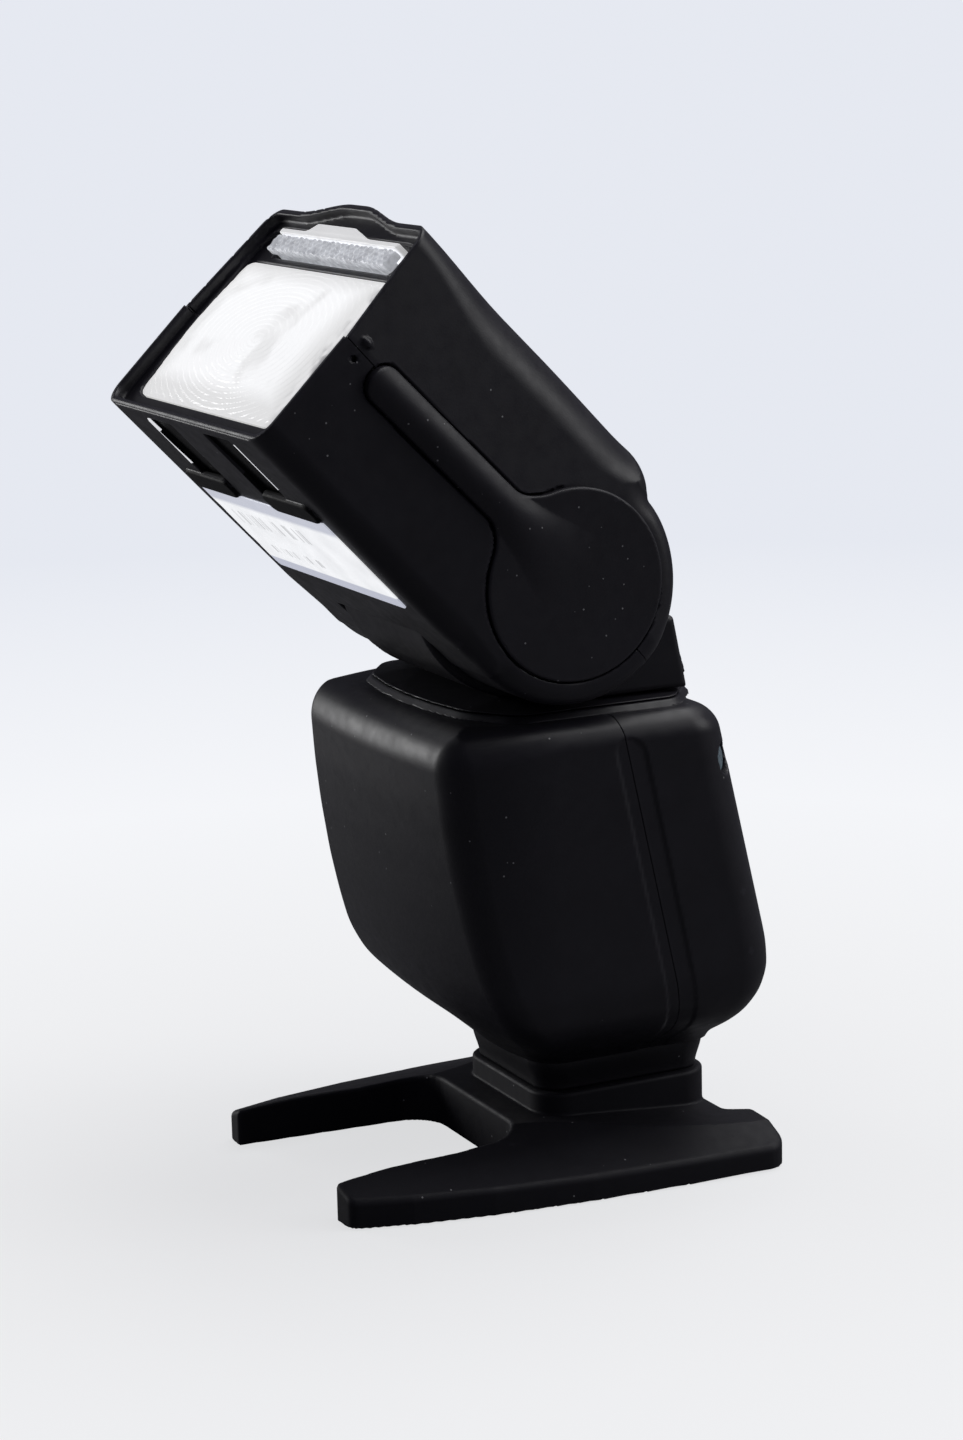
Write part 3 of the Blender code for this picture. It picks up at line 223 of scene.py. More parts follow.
def cell_quads(inside, number):
    """A face across each grid edge that goes from inside to outside."""
    quads = []
    shape = inside.shape
    for axis in range(3):
        first, second = UNITS[(axis + 1) % 3], UNITS[(axis + 2) % 3]
        lower = tuple(slice(0, n - 1) if k == axis else slice(1, n - 1) for k, n in enumerate(shape))
        upper = tuple(slice(1, n) if k == axis else slice(1, n - 1) for k, n in enumerate(shape))
        for solid_below in (True, False):
            found = (inside[lower] == solid_below) & (inside[upper] != solid_below)
            edge = np.argwhere(found) + 1 - UNITS[axis]
            ring = (edge, edge - first, edge - first - second, edge - second)
            quad = np.stack([number[tuple(cell.T)] for cell in ring], axis=1)
            quads.append(quad if solid_below else quad[:, ::-1])
    return np.concatenate(quads)


def gradient(field, points):
    """The field's slope at each point, by differences."""
    sides = []
    for unit in np.eye(3):
        ahead = field(*(points + SLOPE_REACH * unit).T)
        behind = field(*(points - SLOPE_REACH * unit).T)
        sides.append((ahead - behind) / (2 * SLOPE_REACH))
    return np.stack(np.broadcast_arrays(*sides), axis=1)


def unit_length(slope):
    return slope / np.maximum(np.linalg.norm(slope, axis=1), 1e-9)[:, None]


def onto_crease(found, first, second):
    """Moves points to the line where both fields are zero."""
    for _ in range(4):
        gap_1, gap_2 = first(*found.T), second(*found.T)
        slope_1, slope_2 = gradient(first, found), gradient(second, found)
        own_1, own_2 = (slope_1**2).sum(axis=1), (slope_2**2).sum(axis=1)
        both = (slope_1 * slope_2).sum(axis=1)
        scale = np.maximum(own_1 * own_2 - both**2, 1e-2)
        move_1 = (gap_1 * own_2 - gap_2 * both) / scale
        move_2 = (gap_2 * own_1 - gap_1 * both) / scale
        found = found - move_1[:, None] * slope_1 - move_2[:, None] * slope_2
    return found


def sharpen(points, normals, middles, step, creases):
    """Puts the one point of each cell that a crease crosses onto that crease."""
    for first, second, share in creases:
        near = (np.abs(first(*points.T)) < step) & (np.abs(second(*points.T)) < step)
        chosen = np.flatnonzero(near)
        found = onto_crease(points[chosen], first, second)
        held = np.abs(found - middles[chosen]).max(axis=1) < CREASE_REACH * step
        chosen, found = chosen[held], found[held]
        points[chosen] = found
        normals[chosen] = unit_length(gradient(first, found) + share * gradient(second, found))


def skin_of(field, low, high, step, creases=()):
    """Points, faces and normals of the surface where the field is zero."""
    axes = [np.arange(a, b + step, step) for a, b in zip(low, high)]
    shape = tuple(len(axis) for axis in axes)
    x, y, z = np.meshgrid(*axes, indexing="ij", sparse=True)
    value = np.broadcast_to(field(x, y, z), shape).astype(np.float32)
    inside = value < 0
    corners = [
        inside[i : shape[0] - 1 + i, j : shape[1] - 1 + j, k : shape[2] - 1 + k]
        for i in (0, 1) for j in (0, 1) for k in (0, 1)
    ]
    cells = np.argwhere(np.logical_or.reduce(corners) & ~np.logical_and.reduce(corners))
    number = np.full([n - 1 for n in shape], -1)
    number[tuple(cells.T)] = np.arange(len(cells))
    points = np.array(low) + step * crossings(value, cells)
    for _ in range(3):
        slope = gradient(field, points)
        steepness = np.maximum((slope**2).sum(axis=1), 1e-3)
        move = np.clip(field(*points.T) / steepness, -step, step)
        points -= 0.9 * move[:, None] * slope
    normals = unit_length(gradient(field, points))
    sharpen(points, normals, np.array(low) + step * (cells + 0.5), step, creases)
    return points, cell_quads(inside, number), normals


def mesh_object(name, points, faces, place, material, normals=None):
    """A mesh object from local millimetres; faces all have as many corners."""
    turn = np.array(place.to_3x3())
    world = points @ turn.T + np.array(place.translation)
    if np.linalg.det(turn) < 0:
        faces = faces[:, ::-1]
    count, corners = faces.shape
    mesh = bpy.data.meshes.new(name)
    mesh.vertices.add(len(world))
    mesh.vertices.foreach_set("co", world.astype(np.float32).ravel())
    mesh.loops.add(count * corners)
    mesh.loops.foreach_set("vertex_index", faces.astype(np.int32).ravel())
    mesh.polygons.add(count)
    mesh.polygons.foreach_set("loop_start", np.arange(0, count * corners, corners, dtype=np.int32))
    mesh.update(calc_edges=True)
    mesh.shade_smooth()
    if normals is not None:
        turned = normals @ (turn / MM).T
        mesh.normals_split_custom_set_from_vertices(turned.astype(np.float32))
    kept = mesh.attributes.new("local", "FLOAT_VECTOR", "POINT")
    kept.data.foreach_set("vector", points.astype(np.float32).ravel())
    mesh.materials.append(material)
    made = bpy.data.objects.new(name, mesh)
    bpy.context.scene.collection.objects.link(made)
    return made


def piece(made, body, slot, *nodes):
    """Puts a finished piece on its body, in place of the CAD nodes it shows."""
    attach(made, body)
    if nodes:
        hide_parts(*nodes)
    return made


def shell(name, node_name, body, slot, field, low, high, step, place, creases=()):
    """Meshes a field and shows it on a body, in place of one CAD node."""
    points, faces, normals = skin_of(field, low, high, step, creases)
    made = mesh_object(name, points, faces, place, PAINTS[slot], normals)
    return piece(made, body, slot, node_name)


# ------------------------------------------------------------------ materials
def paint(name):
    made = bpy.data.materials.new(name)
    made.use_nodes = True
    return made, made.node_tree, made.node_tree.nodes["Principled BSDF"]


def node(tree, kind, **settings):
    made = tree.nodes.new(kind)
    for key, value in settings.items():
        setattr(made, key, value)
    return made


def fill(tree, socket, value):
    """Links an output to a socket, or sets the socket's own value."""
    if isinstance(value, bpy.types.NodeSocket):
        tree.links.new(value, socket)
    elif socket.type == "RGBA":
        socket.default_value = (*value, 1.0)
    else:
        socket.default_value = value


def plug(tree, made, **values):
    """Fills a node's inputs by name; an underscore stands for a space."""
    for name, value in values.items():
        fill(tree, made.inputs[name.replace("_", " ")], value)
    return made


def calc(tree, operation, *values):
    made = node(tree, "ShaderNodeMath", operation=operation)
    for value, socket in zip(values, made.inputs):
        fill(tree, socket, value)
    return made.outputs["Value"]


def spot(tree):
    """The place on the object, in metres."""
    return node(tree, "ShaderNodeTexCoord").outputs["Object"]


def noise(tree, per_mm, detail=3.0):
    """Noise with the given number of features to a millimetre."""
    made = node(tree, "ShaderNodeTexNoise")
    plug(tree, made, Vector=spot(tree), Scale=per_mm / MM, Detail=detail, Roughness=0.55)
    return made.outputs["Fac"]


def ranged(tree, source, low, high, to_low, to_high):
    made = node(tree, "ShaderNodeMapRange")
    plug(tree, made, Value=source, From_Min=low, From_Max=high, To_Min=to_low, To_Max=to_high)
    return made.outputs["Result"]


def drifting(tree, source, to_low, to_high):
    """Spreads a noise over a range of values."""
    return ranged(tree, source, 0.3, 0.7, to_low, to_high)


def mixed(tree, factor, first, second):
    made = node(tree, "ShaderNodeMix", data_type="RGBA")
    return plug(tree, made, Factor=factor, A=first, B=second).outputs["Result"]


def scaled(tree, colour, factor):
    made = node(tree, "ShaderNodeVectorMath", operation="SCALE")
    return plug(tree, made, Vector=colour, Scale=factor).outputs["Vector"]


def bumped(tree, shader, height, strength, depth_mm):
    made = node(tree, "ShaderNodeBump")
    plug(tree, made, Height=height, Strength=strength, Distance=depth_mm * MM)
    plug(tree, shader, Normal=made.outputs["Normal"])


def dust(tree, per_mm, share):
    """Sparse tiny specks: 1 on a speck, 0 elsewhere."""
    cells = node(tree, "ShaderNodeTexVoronoi")
    plug(tree, cells, Vector=spot(tree), Scale=per_mm / MM)
    near = ranged(tree, cells.outputs["Distance"], 0.05, 0.09, 1.0, 0.0)
    lucky = plug(tree, node(tree, "ShaderNodeSeparateColor"), Color=cells.outputs["Color"])
    return calc(tree, "MULTIPLY", near, calc(tree, "LESS_THAN", lucky.outputs["Red"], share))


def moulded(name, colour, roughness, grain=3.2, specks=0.22, worn=0.3, shine=0.42):
    """Satin moulded plastic: fine grain, uneven sheen, paler edges, dust."""
    made, tree, shader = paint(name)
    base = scaled(tree, colour, drifting(tree, noise(tree, 0.08, 4.0), 0.85, 1.15))
    edge = node(tree, "ShaderNodeNewGeometry")
    wear = ranged(tree, edge.outputs["Pointiness"], 0.515, 0.56, 0.0, worn)
    rubbed = mixed(tree, wear, base, tuple(c * 2.2 + 0.012 for c in colour))
    dusty = mixed(tree, dust(tree, 0.42, specks), rubbed, (0.32, 0.32, 0.33))
    sheen = drifting(tree, noise(tree, 0.35, 5.0), roughness - 0.05, roughness + 0.06)
    plug(tree, shader, Base_Color=dusty, Roughness=sheen, Specular_IOR_Level=shine)
    bumped(tree, shader, noise(tree, grain, 2.0), 0.9, 0.012)
    return made


def metal(name, colour, roughness, per_mm=2.0):
    """Metal with fine drawn marks."""
    made, tree, shader = paint(name)
    base = scaled(tree, colour, drifting(tree, noise(tree, 0.5, 4.0), 0.88, 1.08))
    fine = noise(tree, per_mm, 4.0)
    plug(tree, shader, Base_Color=base, Metallic=1.0,
         Roughness=drifting(tree, fine, roughness - 0.06, roughness + 0.08))
    bumped(tree, shader, fine, 0.5, 0.006)
    return made


def local_axes(tree):
    """The three coordinates, in millimetres, that the piece was laid out in."""
    kept = node(tree, "ShaderNodeAttribute", attribute_name="local")
    split = plug(tree, node(tree, "ShaderNodeSeparateXYZ"), Vector=kept.outputs["Vector"])
    return split.outputs["X"], split.outputs["Y"], split.outputs["Z"]


def mottled(tree, cloud, first, second, low=0.3, high=0.7):
    """A colour that drifts between two."""
    return mixed(tree, ranged(tree, cloud, low, high, 0.0, 1.0), first, second)


def clear_panel():
    """The wide panel: frosted, prismatic, slightly grey, lit by a painted glow."""
    made, tree, shader = paint("panel_clear")
    cloud = noise(tree, 0.5, 4.0)
    tone = mottled(tree, cloud, (0.50, 0.51, 0.54), (0.80, 0.82, 0.86), 0.35, 0.65)
    # Painted glow: the emission stands in for light falling on the panel.
    plug(tree, shader, Base_Color=tone, Emission_Color=tone, Emission_Strength=0.35, Alpha=0.88,
         Roughness=drifting(tree, cloud, 0.12, 0.3))
    bumped(tree, shader, noise(tree, 2.4, 2.0), 0.4, 0.03)
    return made


def white_panel():
    made, tree, shader = paint("panel_white")
    tone = mottled(tree, noise(tree, 0.15, 4.0), (0.80, 0.80, 0.81), (0.90, 0.90, 0.91))
    # Painted glow: the emission brightens the card to white where it lies in shade.
    plug(tree, shader, Base_Color=tone, Emission_Color=(1.0, 1.0, 1.0), Emission_Strength=0.40,
         Roughness=0.35)
    bumped(tree, shader, noise(tree, 3.0, 2.0), 0.4, 0.006)
    return made


def lens_plastic():
    """The ribbed lens: bright from a painted glow, with faint rings, painted shade in soft patches and towards its
    edges, and painted shade on its near end.
    """
    made, tree, shader = paint("lens_clear")
    x, _, v = local_axes(tree)
    across = calc(tree, "DIVIDE", calc(tree, "ADD", x, 3.0), 25.0)
    up = calc(tree, "DIVIDE", calc(tree, "SUBTRACT", v, 1.0), 12.0)
    wide = calc(tree, "MAXIMUM", calc(tree, "ABSOLUTE", across), calc(tree, "ABSOLUTE", up))
    # Painted shade: the lens darkens towards its edges and in soft grey patches.
    edge = ranged(tree, wide, 0.92, 1.22, 0.0, 0.30)
    shade_patch = ranged(tree, noise(tree, 0.06, 3.0), 0.52, 0.62, 0.0, 0.21)
    round_x = calc(tree, "MULTIPLY", x, x)
    round_v = calc(tree, "MULTIPLY", calc(tree, "MULTIPLY", v, v), 2.2)
    distance = calc(tree, "SQRT", calc(tree, "ADD", round_x, round_v))
    rings = calc(tree, "SINE", calc(tree, "MULTIPLY", distance, 5.4))
    rings = ranged(tree, rings, 0.2, 1.0, 0.0, 0.06)
    shade = calc(tree, "ADD", calc(tree, "MAXIMUM", edge, shade_patch), rings)
    # Painted shade: the near end of the lens turns dark grey, as shade beside the near rim.
    near_end_shade = calc(tree, "MULTIPLY", ranged(tree, x, 27.5, 33.0, 0.0, 1.0),
                  ranged(tree, noise(tree, 0.22, 2.0), 0.47, 0.66, 0.0, 0.8))
    pale = mixed(tree, shade, (0.98, 0.985, 0.99), (0.36, 0.35, 0.33))
    tone = mixed(tree, near_end_shade, pale, (0.16, 0.16, 0.165))
    # Painted glow: the emission keeps the lens bright white.
    plug(tree, shader, Base_Color=tone, Emission_Color=tone, Emission_Strength=0.66, Roughness=0.24)
    bumped(tree, shader, noise(tree, 0.8, 2.0), 0.3, 0.01)
    return made


def within(tree, value, low, high):
    """1 between the two ends, 0 outside them."""
    return calc(tree, "MULTIPLY", calc(tree, "GREATER_THAN", value, low),
                calc(tree, "LESS_THAN", value, high))


def label_film():
    """White film with plain bars, two blue-grey bands and no lettering; a painted glow keeps it white though it
    faces down.
    """
    made, tree, shader = paint("label_silver")
    x, u, _ = local_axes(tree)
    width = node(tree, "ShaderNodeTexNoise", noise_dimensions="1D")
    plug(tree, width, W=x, Scale=0.9, Detail=1.0)
    bars = ranged(tree, width.outputs["Fac"], 0.54, 0.60, 0.0, 0.45)
    rows = [calc(tree, "MULTIPLY", within(tree, x, *across), within(tree, u, *along))
            for across, along in (((-24.0, 10.0), (33.0, 37.0)), ((-22.0, 2.0), (25.0, 27.2)))]
    ink = calc(tree, "MULTIPLY", bars, calc(tree, "ADD", *rows))
    cloud = noise(tree, 0.12, 3.0)
    film = mottled(tree, cloud, (0.80, 0.81, 0.83), (0.93, 0.94, 0.96))
    band = calc(tree, "MAXIMUM", ranged(tree, u, 38.8, 40.0, 0.0, 0.7),
                ranged(tree, u, 22.3, 22.6, 0.8, 0.0))
    film = mixed(tree, band, film, (0.40, 0.42, 0.52))
    printed = mixed(tree, ink, film, (0.03, 0.03, 0.03))
    # Painted glow: the emission lifts the downward-facing label to white.
    plug(tree, shader, Base_Color=printed, Emission_Color=printed, Emission_Strength=0.85,
         Roughness=drifting(tree, cloud, 0.3, 0.42))
    bumped(tree, shader, noise(tree, 2.0, 2.0), 0.3, 0.006)
    return made


def wrap(name, colour, second, period):
    """Printed shrink wrap with a plain coloured end band."""
    made, tree, shader = paint(name)
    split = plug(tree, node(tree, "ShaderNodeSeparateXYZ"), Vector=spot(tree))
    turns = calc(tree, "FRACT", calc(tree, "DIVIDE", split.outputs["X"], period * MM))
    tone = mixed(tree, ranged(tree, turns, 0.70, 0.72, 0.0, 1.0), colour, second)
    plug(tree, shader, Base_Color=tone, Roughness=drifting(tree, noise(tree, 0.3, 3.0), 0.22, 0.34))
    bumped(tree, shader, noise(tree, 1.0, 2.0), 0.3, 0.01)
    return made


def grid(tree, per_mm, mortar, first, second, line):
    """A brick pattern: board tracks, or the cells of the display."""
    made = node(tree, "ShaderNodeTexBrick")
    return plug(tree, made, Vector=spot(tree), Scale=per_mm / MM, Mortar_Size=mortar,
                Color1=first, Color2=second, Mortar=line)


def board():
    """Circuit board with paler tracks."""
    made, tree, shader = paint("board_green")
    tracks = grid(tree, 0.35, 0.03, (0.01, 0.09, 0.03), (0.012, 0.11, 0.035), (0.05, 0.22, 0.09))
    plug(tree, shader, Base_Color=tracks.outputs["Color"],
         Roughness=drifting(tree, noise(tree, 0.6, 3.0), 0.3, 0.45))
    bumped(tree, shader, tracks.outputs["Fac"], 0.5, 0.03)
    return made


def channel_edge_highlight():
    """A painted highlight: a pale glowing line along the outer edge of each channel under the head."""
    made, tree, shader = paint("channel_edge_highlight")
    tone = mottled(tree, noise(tree, 0.25, 3.0), (0.75, 0.76, 0.80), (0.92, 0.93, 0.95), 0.35, 0.65)
    # Painted highlight: the emission makes the edge line glow.
    plug(tree, shader, Base_Color=tone, Emission_Color=tone, Emission_Strength=0.8, Roughness=0.3)
    bumped(tree, shader, noise(tree, 2.0, 2.0), 0.3, 0.006)
    return made


def glassy(name, colour, roughness, alpha):
    made, tree, shader = paint(name)
    cloud = noise(tree, 0.2, 3.0)
    tone = mottled(tree, cloud, colour, tuple(c * 1.15 for c in colour))
    plug(tree, shader, Base_Color=tone, Alpha=alpha,
         Roughness=drifting(tree, cloud, roughness * 0.7, roughness * 1.4))
    bumped(tree, shader, noise(tree, 0.5, 2.0), 0.2, 0.006)
    return made


def lcd_face():
    """The display's grey reflector with a faint cell grid."""
    made, tree, shader = paint("lcd_grey")
    cells = grid(tree, 1.6, 0.04, (0.16, 0.18, 0.15), (0.17, 0.19, 0.16), (0.13, 0.15, 0.12))
    cells.offset = 0.0
    plug(tree, shader, Base_Color=cells.outputs["Color"],
         Roughness=drifting(tree, noise(tree, 0.3, 3.0), 0.35, 0.5))
    bumped(tree, shader, noise(tree, 2.0, 2.0), 0.3, 0.006)
    return made


PAINTS = {
    "shell_black": moulded("shell_black", (0.0130, 0.0122, 0.0175), 0.43),
    "turret_black": moulded("turret_black", (0.0125, 0.0118, 0.0165), 0.42),
    "cover_black": moulded("cover_black", (0.0150, 0.0140, 0.0195), 0.46, grain=2.6, specks=1.3),
    "foot_black": moulded("foot_black", (0.0110, 0.0105, 0.0145), 0.44),
    "stand_black": moulded("stand_black", (0.0125, 0.0120, 0.0165), 0.58, grain=2.2, shine=0.28),
    "inner_plastic": moulded("inner_plastic", (0.030, 0.030, 0.032), 0.55, specks=0.0),
    "button_grey": moulded("button_grey", (0.10, 0.105, 0.115), 0.42, specks=0.02),
    "button_blue": moulded("button_blue", (0.145, 0.20, 0.235), 0.30, specks=0.0),
    "lens_clear": lens_plastic(),
    "panel_clear": clear_panel(),
    "panel_white": white_panel(),
    "label_silver": label_film(),
    "steel": metal("steel", (0.55, 0.56, 0.58), 0.30),
    "bright_metal": metal("bright_metal", (0.86, 0.86, 0.87), 0.18, 1.2),
    "brass": metal("brass", (0.80, 0.58, 0.28), 0.28),
    "board_green": board(),
    "lcd_grey": lcd_face(),
    "window_clear": glassy("window_clear", (0.02, 0.022, 0.024), 0.06, 0.45),
    "cell_wrap": wrap("cell_wrap", (0.03, 0.10, 0.20), (0.70, 0.70, 0.72), 60.0),
    "capacitor_wrap": wrap("capacitor_wrap", (0.02, 0.03, 0.08), (0.55, 0.56, 0.60), 40.0),
    "channel_edge_highlight": channel_edge_highlight(),
    "pad_rubber": moulded("pad_rubber", (0.0035, 0.0034, 0.0045), 0.62, specks=0.0, worn=0.05,
                          shine=0.2),
    "tube_glass": glassy("tube_glass", (0.85, 0.88, 0.90), 0.05, 0.45),
}


# ------------------------------------------------------------------ head
HEAD_FRONT = 65.5
UPPER_SET_BACK = 0.4
HEAD_TOP = 27.9
HEAD_BOTTOM = -23.2
HEAD_BOTTOM_FROM = 15.0
HEAD_BOTTOM_RISE = 0.0297
HEAD_HALF = 36.9
HEAD_FLARE = 0.023
TAPER_FROM = 3.0
TAPER = 0.0039
EAR_RADIUS = 22.7
EAR_ROUND = 3.4
DECK_REAR = -3.0
DECK_REAR_LEAN = 0.8
DECK_REAR_ROUND = 4.0
LIP_FILLET = 0.8
DECK_SINK = 0.5
TOP_ROUND_REAR = 8.8
TOP_ROUND_FRONT = 4.2
UNDER_ROUND = 4.6
HUMP_HEIGHT = 2.9
HUMP_HALF = 22.5
WALL = 2.0
SEAM_V = 2.4
SEAM_AT_U = 62.0
SEAM_SLOPE = 3.0 / 84.0
MOUTH_HALF = 18.1
MOUTH_RADIUS = 24.9
MOUTH_FIRST = math.radians(-67.5)
MOUTH_LAST = math.radians(98.0)
RIM_WALL = 1.3
RIM_DEPTH = 2.2
PLATE_DEPTH = 4.3
TRUNNION_HOLE = 8.25
LENS_HALF = 33.6
LENS_LOW = -17.2
LENS_HIGH = 16.4
LENS_CORNER = 3.4
SHELF_HIGH = 18.7
PANEL_HALF = 26.6
SLOT_HIGH = 24.5
HEAD_STEP = 0.6
OPENINGS_FROM = 56.0
AXLE_HALF = 28.0
STEP_MIDDLE = 4.1
STEP_HALF = 21.0
STEP_CORNER = 8.0


def under_line(u):
    """The underside, which meets the round of the ears behind the label."""
    ahead = u - HEAD_BOTTOM_FROM
    to_ears = (EAR_RADIUS + HEAD_BOTTOM) / HEAD_BOTTOM_FROM
    return HEAD_BOTTOM + HEAD_BOTTOM_RISE * np.maximum(ahead, 0.0) + to_ears * np.minimum(ahead, 0.0)


def head_sleeve(x, u, v):
    """The head's outside, open-ended towards the lens."""
    hump = HUMP_HEIGHT * smooth(-np.abs(x), -HUMP_HALF, -3.0) * smooth(u, 45.0, 60.0)
    top = v - HEAD_TOP - hump + DECK_SINK * smooth(-u, -30.0, 0.0)
    under = under_line(u) - v
    rear = np.where(v > 0.0, DECK_REAR + DECK_REAR_LEAN * np.maximum(v - EAR_RADIUS, 0.0), 0.0) - u
    deck = overlap(overlap(top, rear, DECK_REAR_ROUND), under, 0.5)
    side_view = merged(deck, np.hypot(u, v) - EAR_RADIUS, LIP_FILLET)
    half = HEAD_HALF + HEAD_FLARE * np.maximum(u, 0.0)
    side = np.abs(x) - half * (1.0 - TAPER * np.maximum(v - TAPER_FROM, 0.0))
    front_share = smooth(u, 40.0, HEAD_FRONT)
    top_round = TOP_ROUND_REAR + (TOP_ROUND_FRONT - TOP_ROUND_REAR) * front_share
    top_round = EAR_ROUND + (top_round - EAR_ROUND) * smooth(u, -10.0, 6.0)
    radius = UNDER_ROUND + (top_round - UNDER_ROUND) * smooth(v, -4.0, 12.0)
    radius = EAR_ROUND + (radius - EAR_ROUND) * smooth(u, -12.0, 10.0)
    return overlap(side_view, side, radius)


def mouth(x, u, v, grow):
    """The space round the drum: all but what lies in front of it."""
    ring = MOUTH_RADIUS + grow - np.hypot(u, v)
    angle = np.arctan2(v, u)
    turn = grow / MOUTH_RADIUS
    ahead = (angle > MOUTH_FIRST + turn) & (angle < MOUTH_LAST - turn)
    first = u * math.sin(MOUTH_FIRST + turn) - v * math.cos(MOUTH_FIRST + turn)
    last = v * math.cos(MOUTH_LAST - turn) - u * math.sin(MOUTH_LAST - turn)
    wedge = np.where(ahead, np.maximum(first, last), np.minimum(np.abs(first), np.abs(last)))
    solid = np.maximum(ring, wedge)
    return overlap(-solid, np.abs(x) - MOUTH_HALF - grow, 0.3)


def head_field(x, u, v, front):
    """Both head shells in one: a hollow body with its rim, mouth and openings."""
    outside = head_sleeve(x, u, v)
    body = overlap(outside, u - front, 0.45)
    rim = overlap(outside + RIM_WALL, HEAD_FRONT - RIM_DEPTH - u, 0.35)
    inner = np.maximum(outside + WALL, u - (HEAD_FRONT - PLATE_DEPTH))
    inner = np.maximum(inner, -mouth(x, u, v, WALL))
    window = bar(x, LENS_HALF + GAP, v, LENS_LOW - GAP, LENS_HIGH + GAP, LENS_CORNER + GAP)
    slot = bar(x, PANEL_HALF + GAP, v, SHELF_HIGH - 0.2, SLOT_HIGH + 0.2, 1.2)
    step_down = rounded_rect(x, v - STEP_MIDDLE, LENS_HALF + 1.0, STEP_HALF, STEP_CORNER)
    step_down = np.maximum(step_down, HEAD_FRONT - RIM_DEPTH - 0.9 - u)
    openings = np.maximum(np.minimum(window, slot), OPENINGS_FROM - u)
    body = carved(body, rim, 0.25)
    body = carved(body, step_down, 0.2)
    body = carved(body, mouth(x, u, v, 0.0), 0.35)
    body = np.maximum(body, -inner)
    body = carved(body, openings, 0.2)
    axle = np.maximum(np.hypot(u, v) - TRUNNION_HOLE, np.abs(x) - AXLE_HALF)
    return carved(body, axle, 0.2)


COVER_RADIUS = 17.9
COVER_ARM_LOW = -2.6
COVER_ARM_HIGH = 4.5
COVER_TIP = 57.6
COVER_FACE = 37.3
COVER_BACK = 35.8
COVER_FILLET = 4.6
RIDGE = 1.4


def cover_outline(u, v, grow):
    """The keyhole outline: a disc on the tilt axis and an arm forward."""
    disc = np.hypot(u, v) - COVER_RADIUS
    half = (COVER_ARM_HIGH - COVER_ARM_LOW) / 2
    arm = bar(u - COVER_TIP / 2, COVER_TIP / 2, v, COVER_ARM_LOW, COVER_ARM_HIGH, half - 0.15)
    return merged(disc, arm, COVER_FILLET) - grow


def cover_field(x, u, v):
    """A side cover whose arm is a raised ridge that fades out on the disc."""
    middle = (COVER_ARM_LOW + COVER_ARM_HIGH) / 2
    spread = 4.1 + 4.5 * smooth(-u, -22.0, 2.0)
    across = np.clip(1.0 - ((v - middle) / spread) ** 2, 0.0, 1.0)
    ridge = RIDGE * across**1.3 * smooth(u, -4.0, 24.0)
    flare = HEAD_FLARE * np.maximum(u, 0.0)
    face = x - COVER_FACE - flare - ridge
    cover = overlap(cover_outline(u, v, 0.0), face, 0.45)
    return np.maximum(cover, COVER_BACK + flare - x)


def cover_recess(x, u, v):
    """The shallow seat of a side cover, one clearance larger."""
    flare = HEAD_FLARE * np.maximum(u, 0.0)
    return np.maximum(cover_outline(u, v, GAP), COVER_BACK - GAP + flare - np.abs(x))


SEAM_DEPTH = 0.9
HEAD_SEAM_HALF = 0.1
NUB_X = HEAD_HALF + 1.3
NUB_U = 61.7
NUB_V = 4.3
NUB_RADIUS = 0.8
NUB_LENGTH = 1.4
HOLE_V = 0.6
HOLE_RADIUS = 0.55
HOLE_DEPTH = 1.2
CHANNEL_X = 14.2
CHANNEL_HALF = 6.3
CHANNEL_REAR = 46.0
CHANNEL_FRONT = 63.0
CHANNEL_ROOF = -20.9
PAD_X = 19.0
PAD_HALF = 10.8
PAD_U = 45.2
PAD_LONG = 2.4
PAD_PROUD = 0.7
PAD_CORNER = 2.2


def seam_line(u):
    """Height of the seam between the two head shells."""
    return SEAM_V + SEAM_SLOPE * (u - SEAM_AT_U)


def groove(depth, half_gap):
    """Half the gap at a seam: open at the skin, shut by a lip further in."""
    return (half_gap + 0.02) * smooth(depth, -SEAM_DEPTH - 0.2, -SEAM_DEPTH) - 0.02


def upper_field(x, u, v):
    body = head_field(x, u, v, HEAD_FRONT - UPPER_SET_BACK)
    body = carved(body, cover_recess(x, u, v), 0.25)
    body = overlap(body, seam_line(u) + groove(head_sleeve(x, u, v), HEAD_SEAM_HALF) - v, 0.15)
    nub = np.sqrt((x - NUB_X) ** 2 + ((u - NUB_U) / NUB_LENGTH) ** 2 + (v - NUB_V) ** 2)
    return merged(body, nub - NUB_RADIUS, 0.3)


def pad_outline(x, u):
    return rounded_rect(np.abs(x) - PAD_X, u - PAD_U, PAD_HALF, PAD_LONG, PAD_CORNER)


def pad_field(x, u, v):
    """The two dark pads between the channels and the label."""
    return overlap(pad_outline(x, u), span(under_line(u) - v, -1.0, PAD_PROUD), 0.5)


def lower_field(x, u, v):
    body = head_field(x, u, v, HEAD_FRONT)
    body = carved(body, cover_recess(x, u, v), 0.25)
    channel = bar(np.abs(x) - CHANNEL_X, CHANNEL_HALF, u, CHANNEL_REAR, CHANNEL_FRONT, 0.6)
    channel = np.maximum(channel, v - CHANNEL_ROOF)
    body = carved(body, channel, 0.2)
    body = merged(body, pad_field(x, u, v), 0.3)
    hole = np.maximum(np.hypot(u - NUB_U, v - HOLE_V) - HOLE_RADIUS, NUB_X - HOLE_DEPTH - x)
    body = carved(body, hole, 0.15)
    return overlap(body, v - seam_line(u) + groove(head_sleeve(x, u, v), HEAD_SEAM_HALF), 0.15)


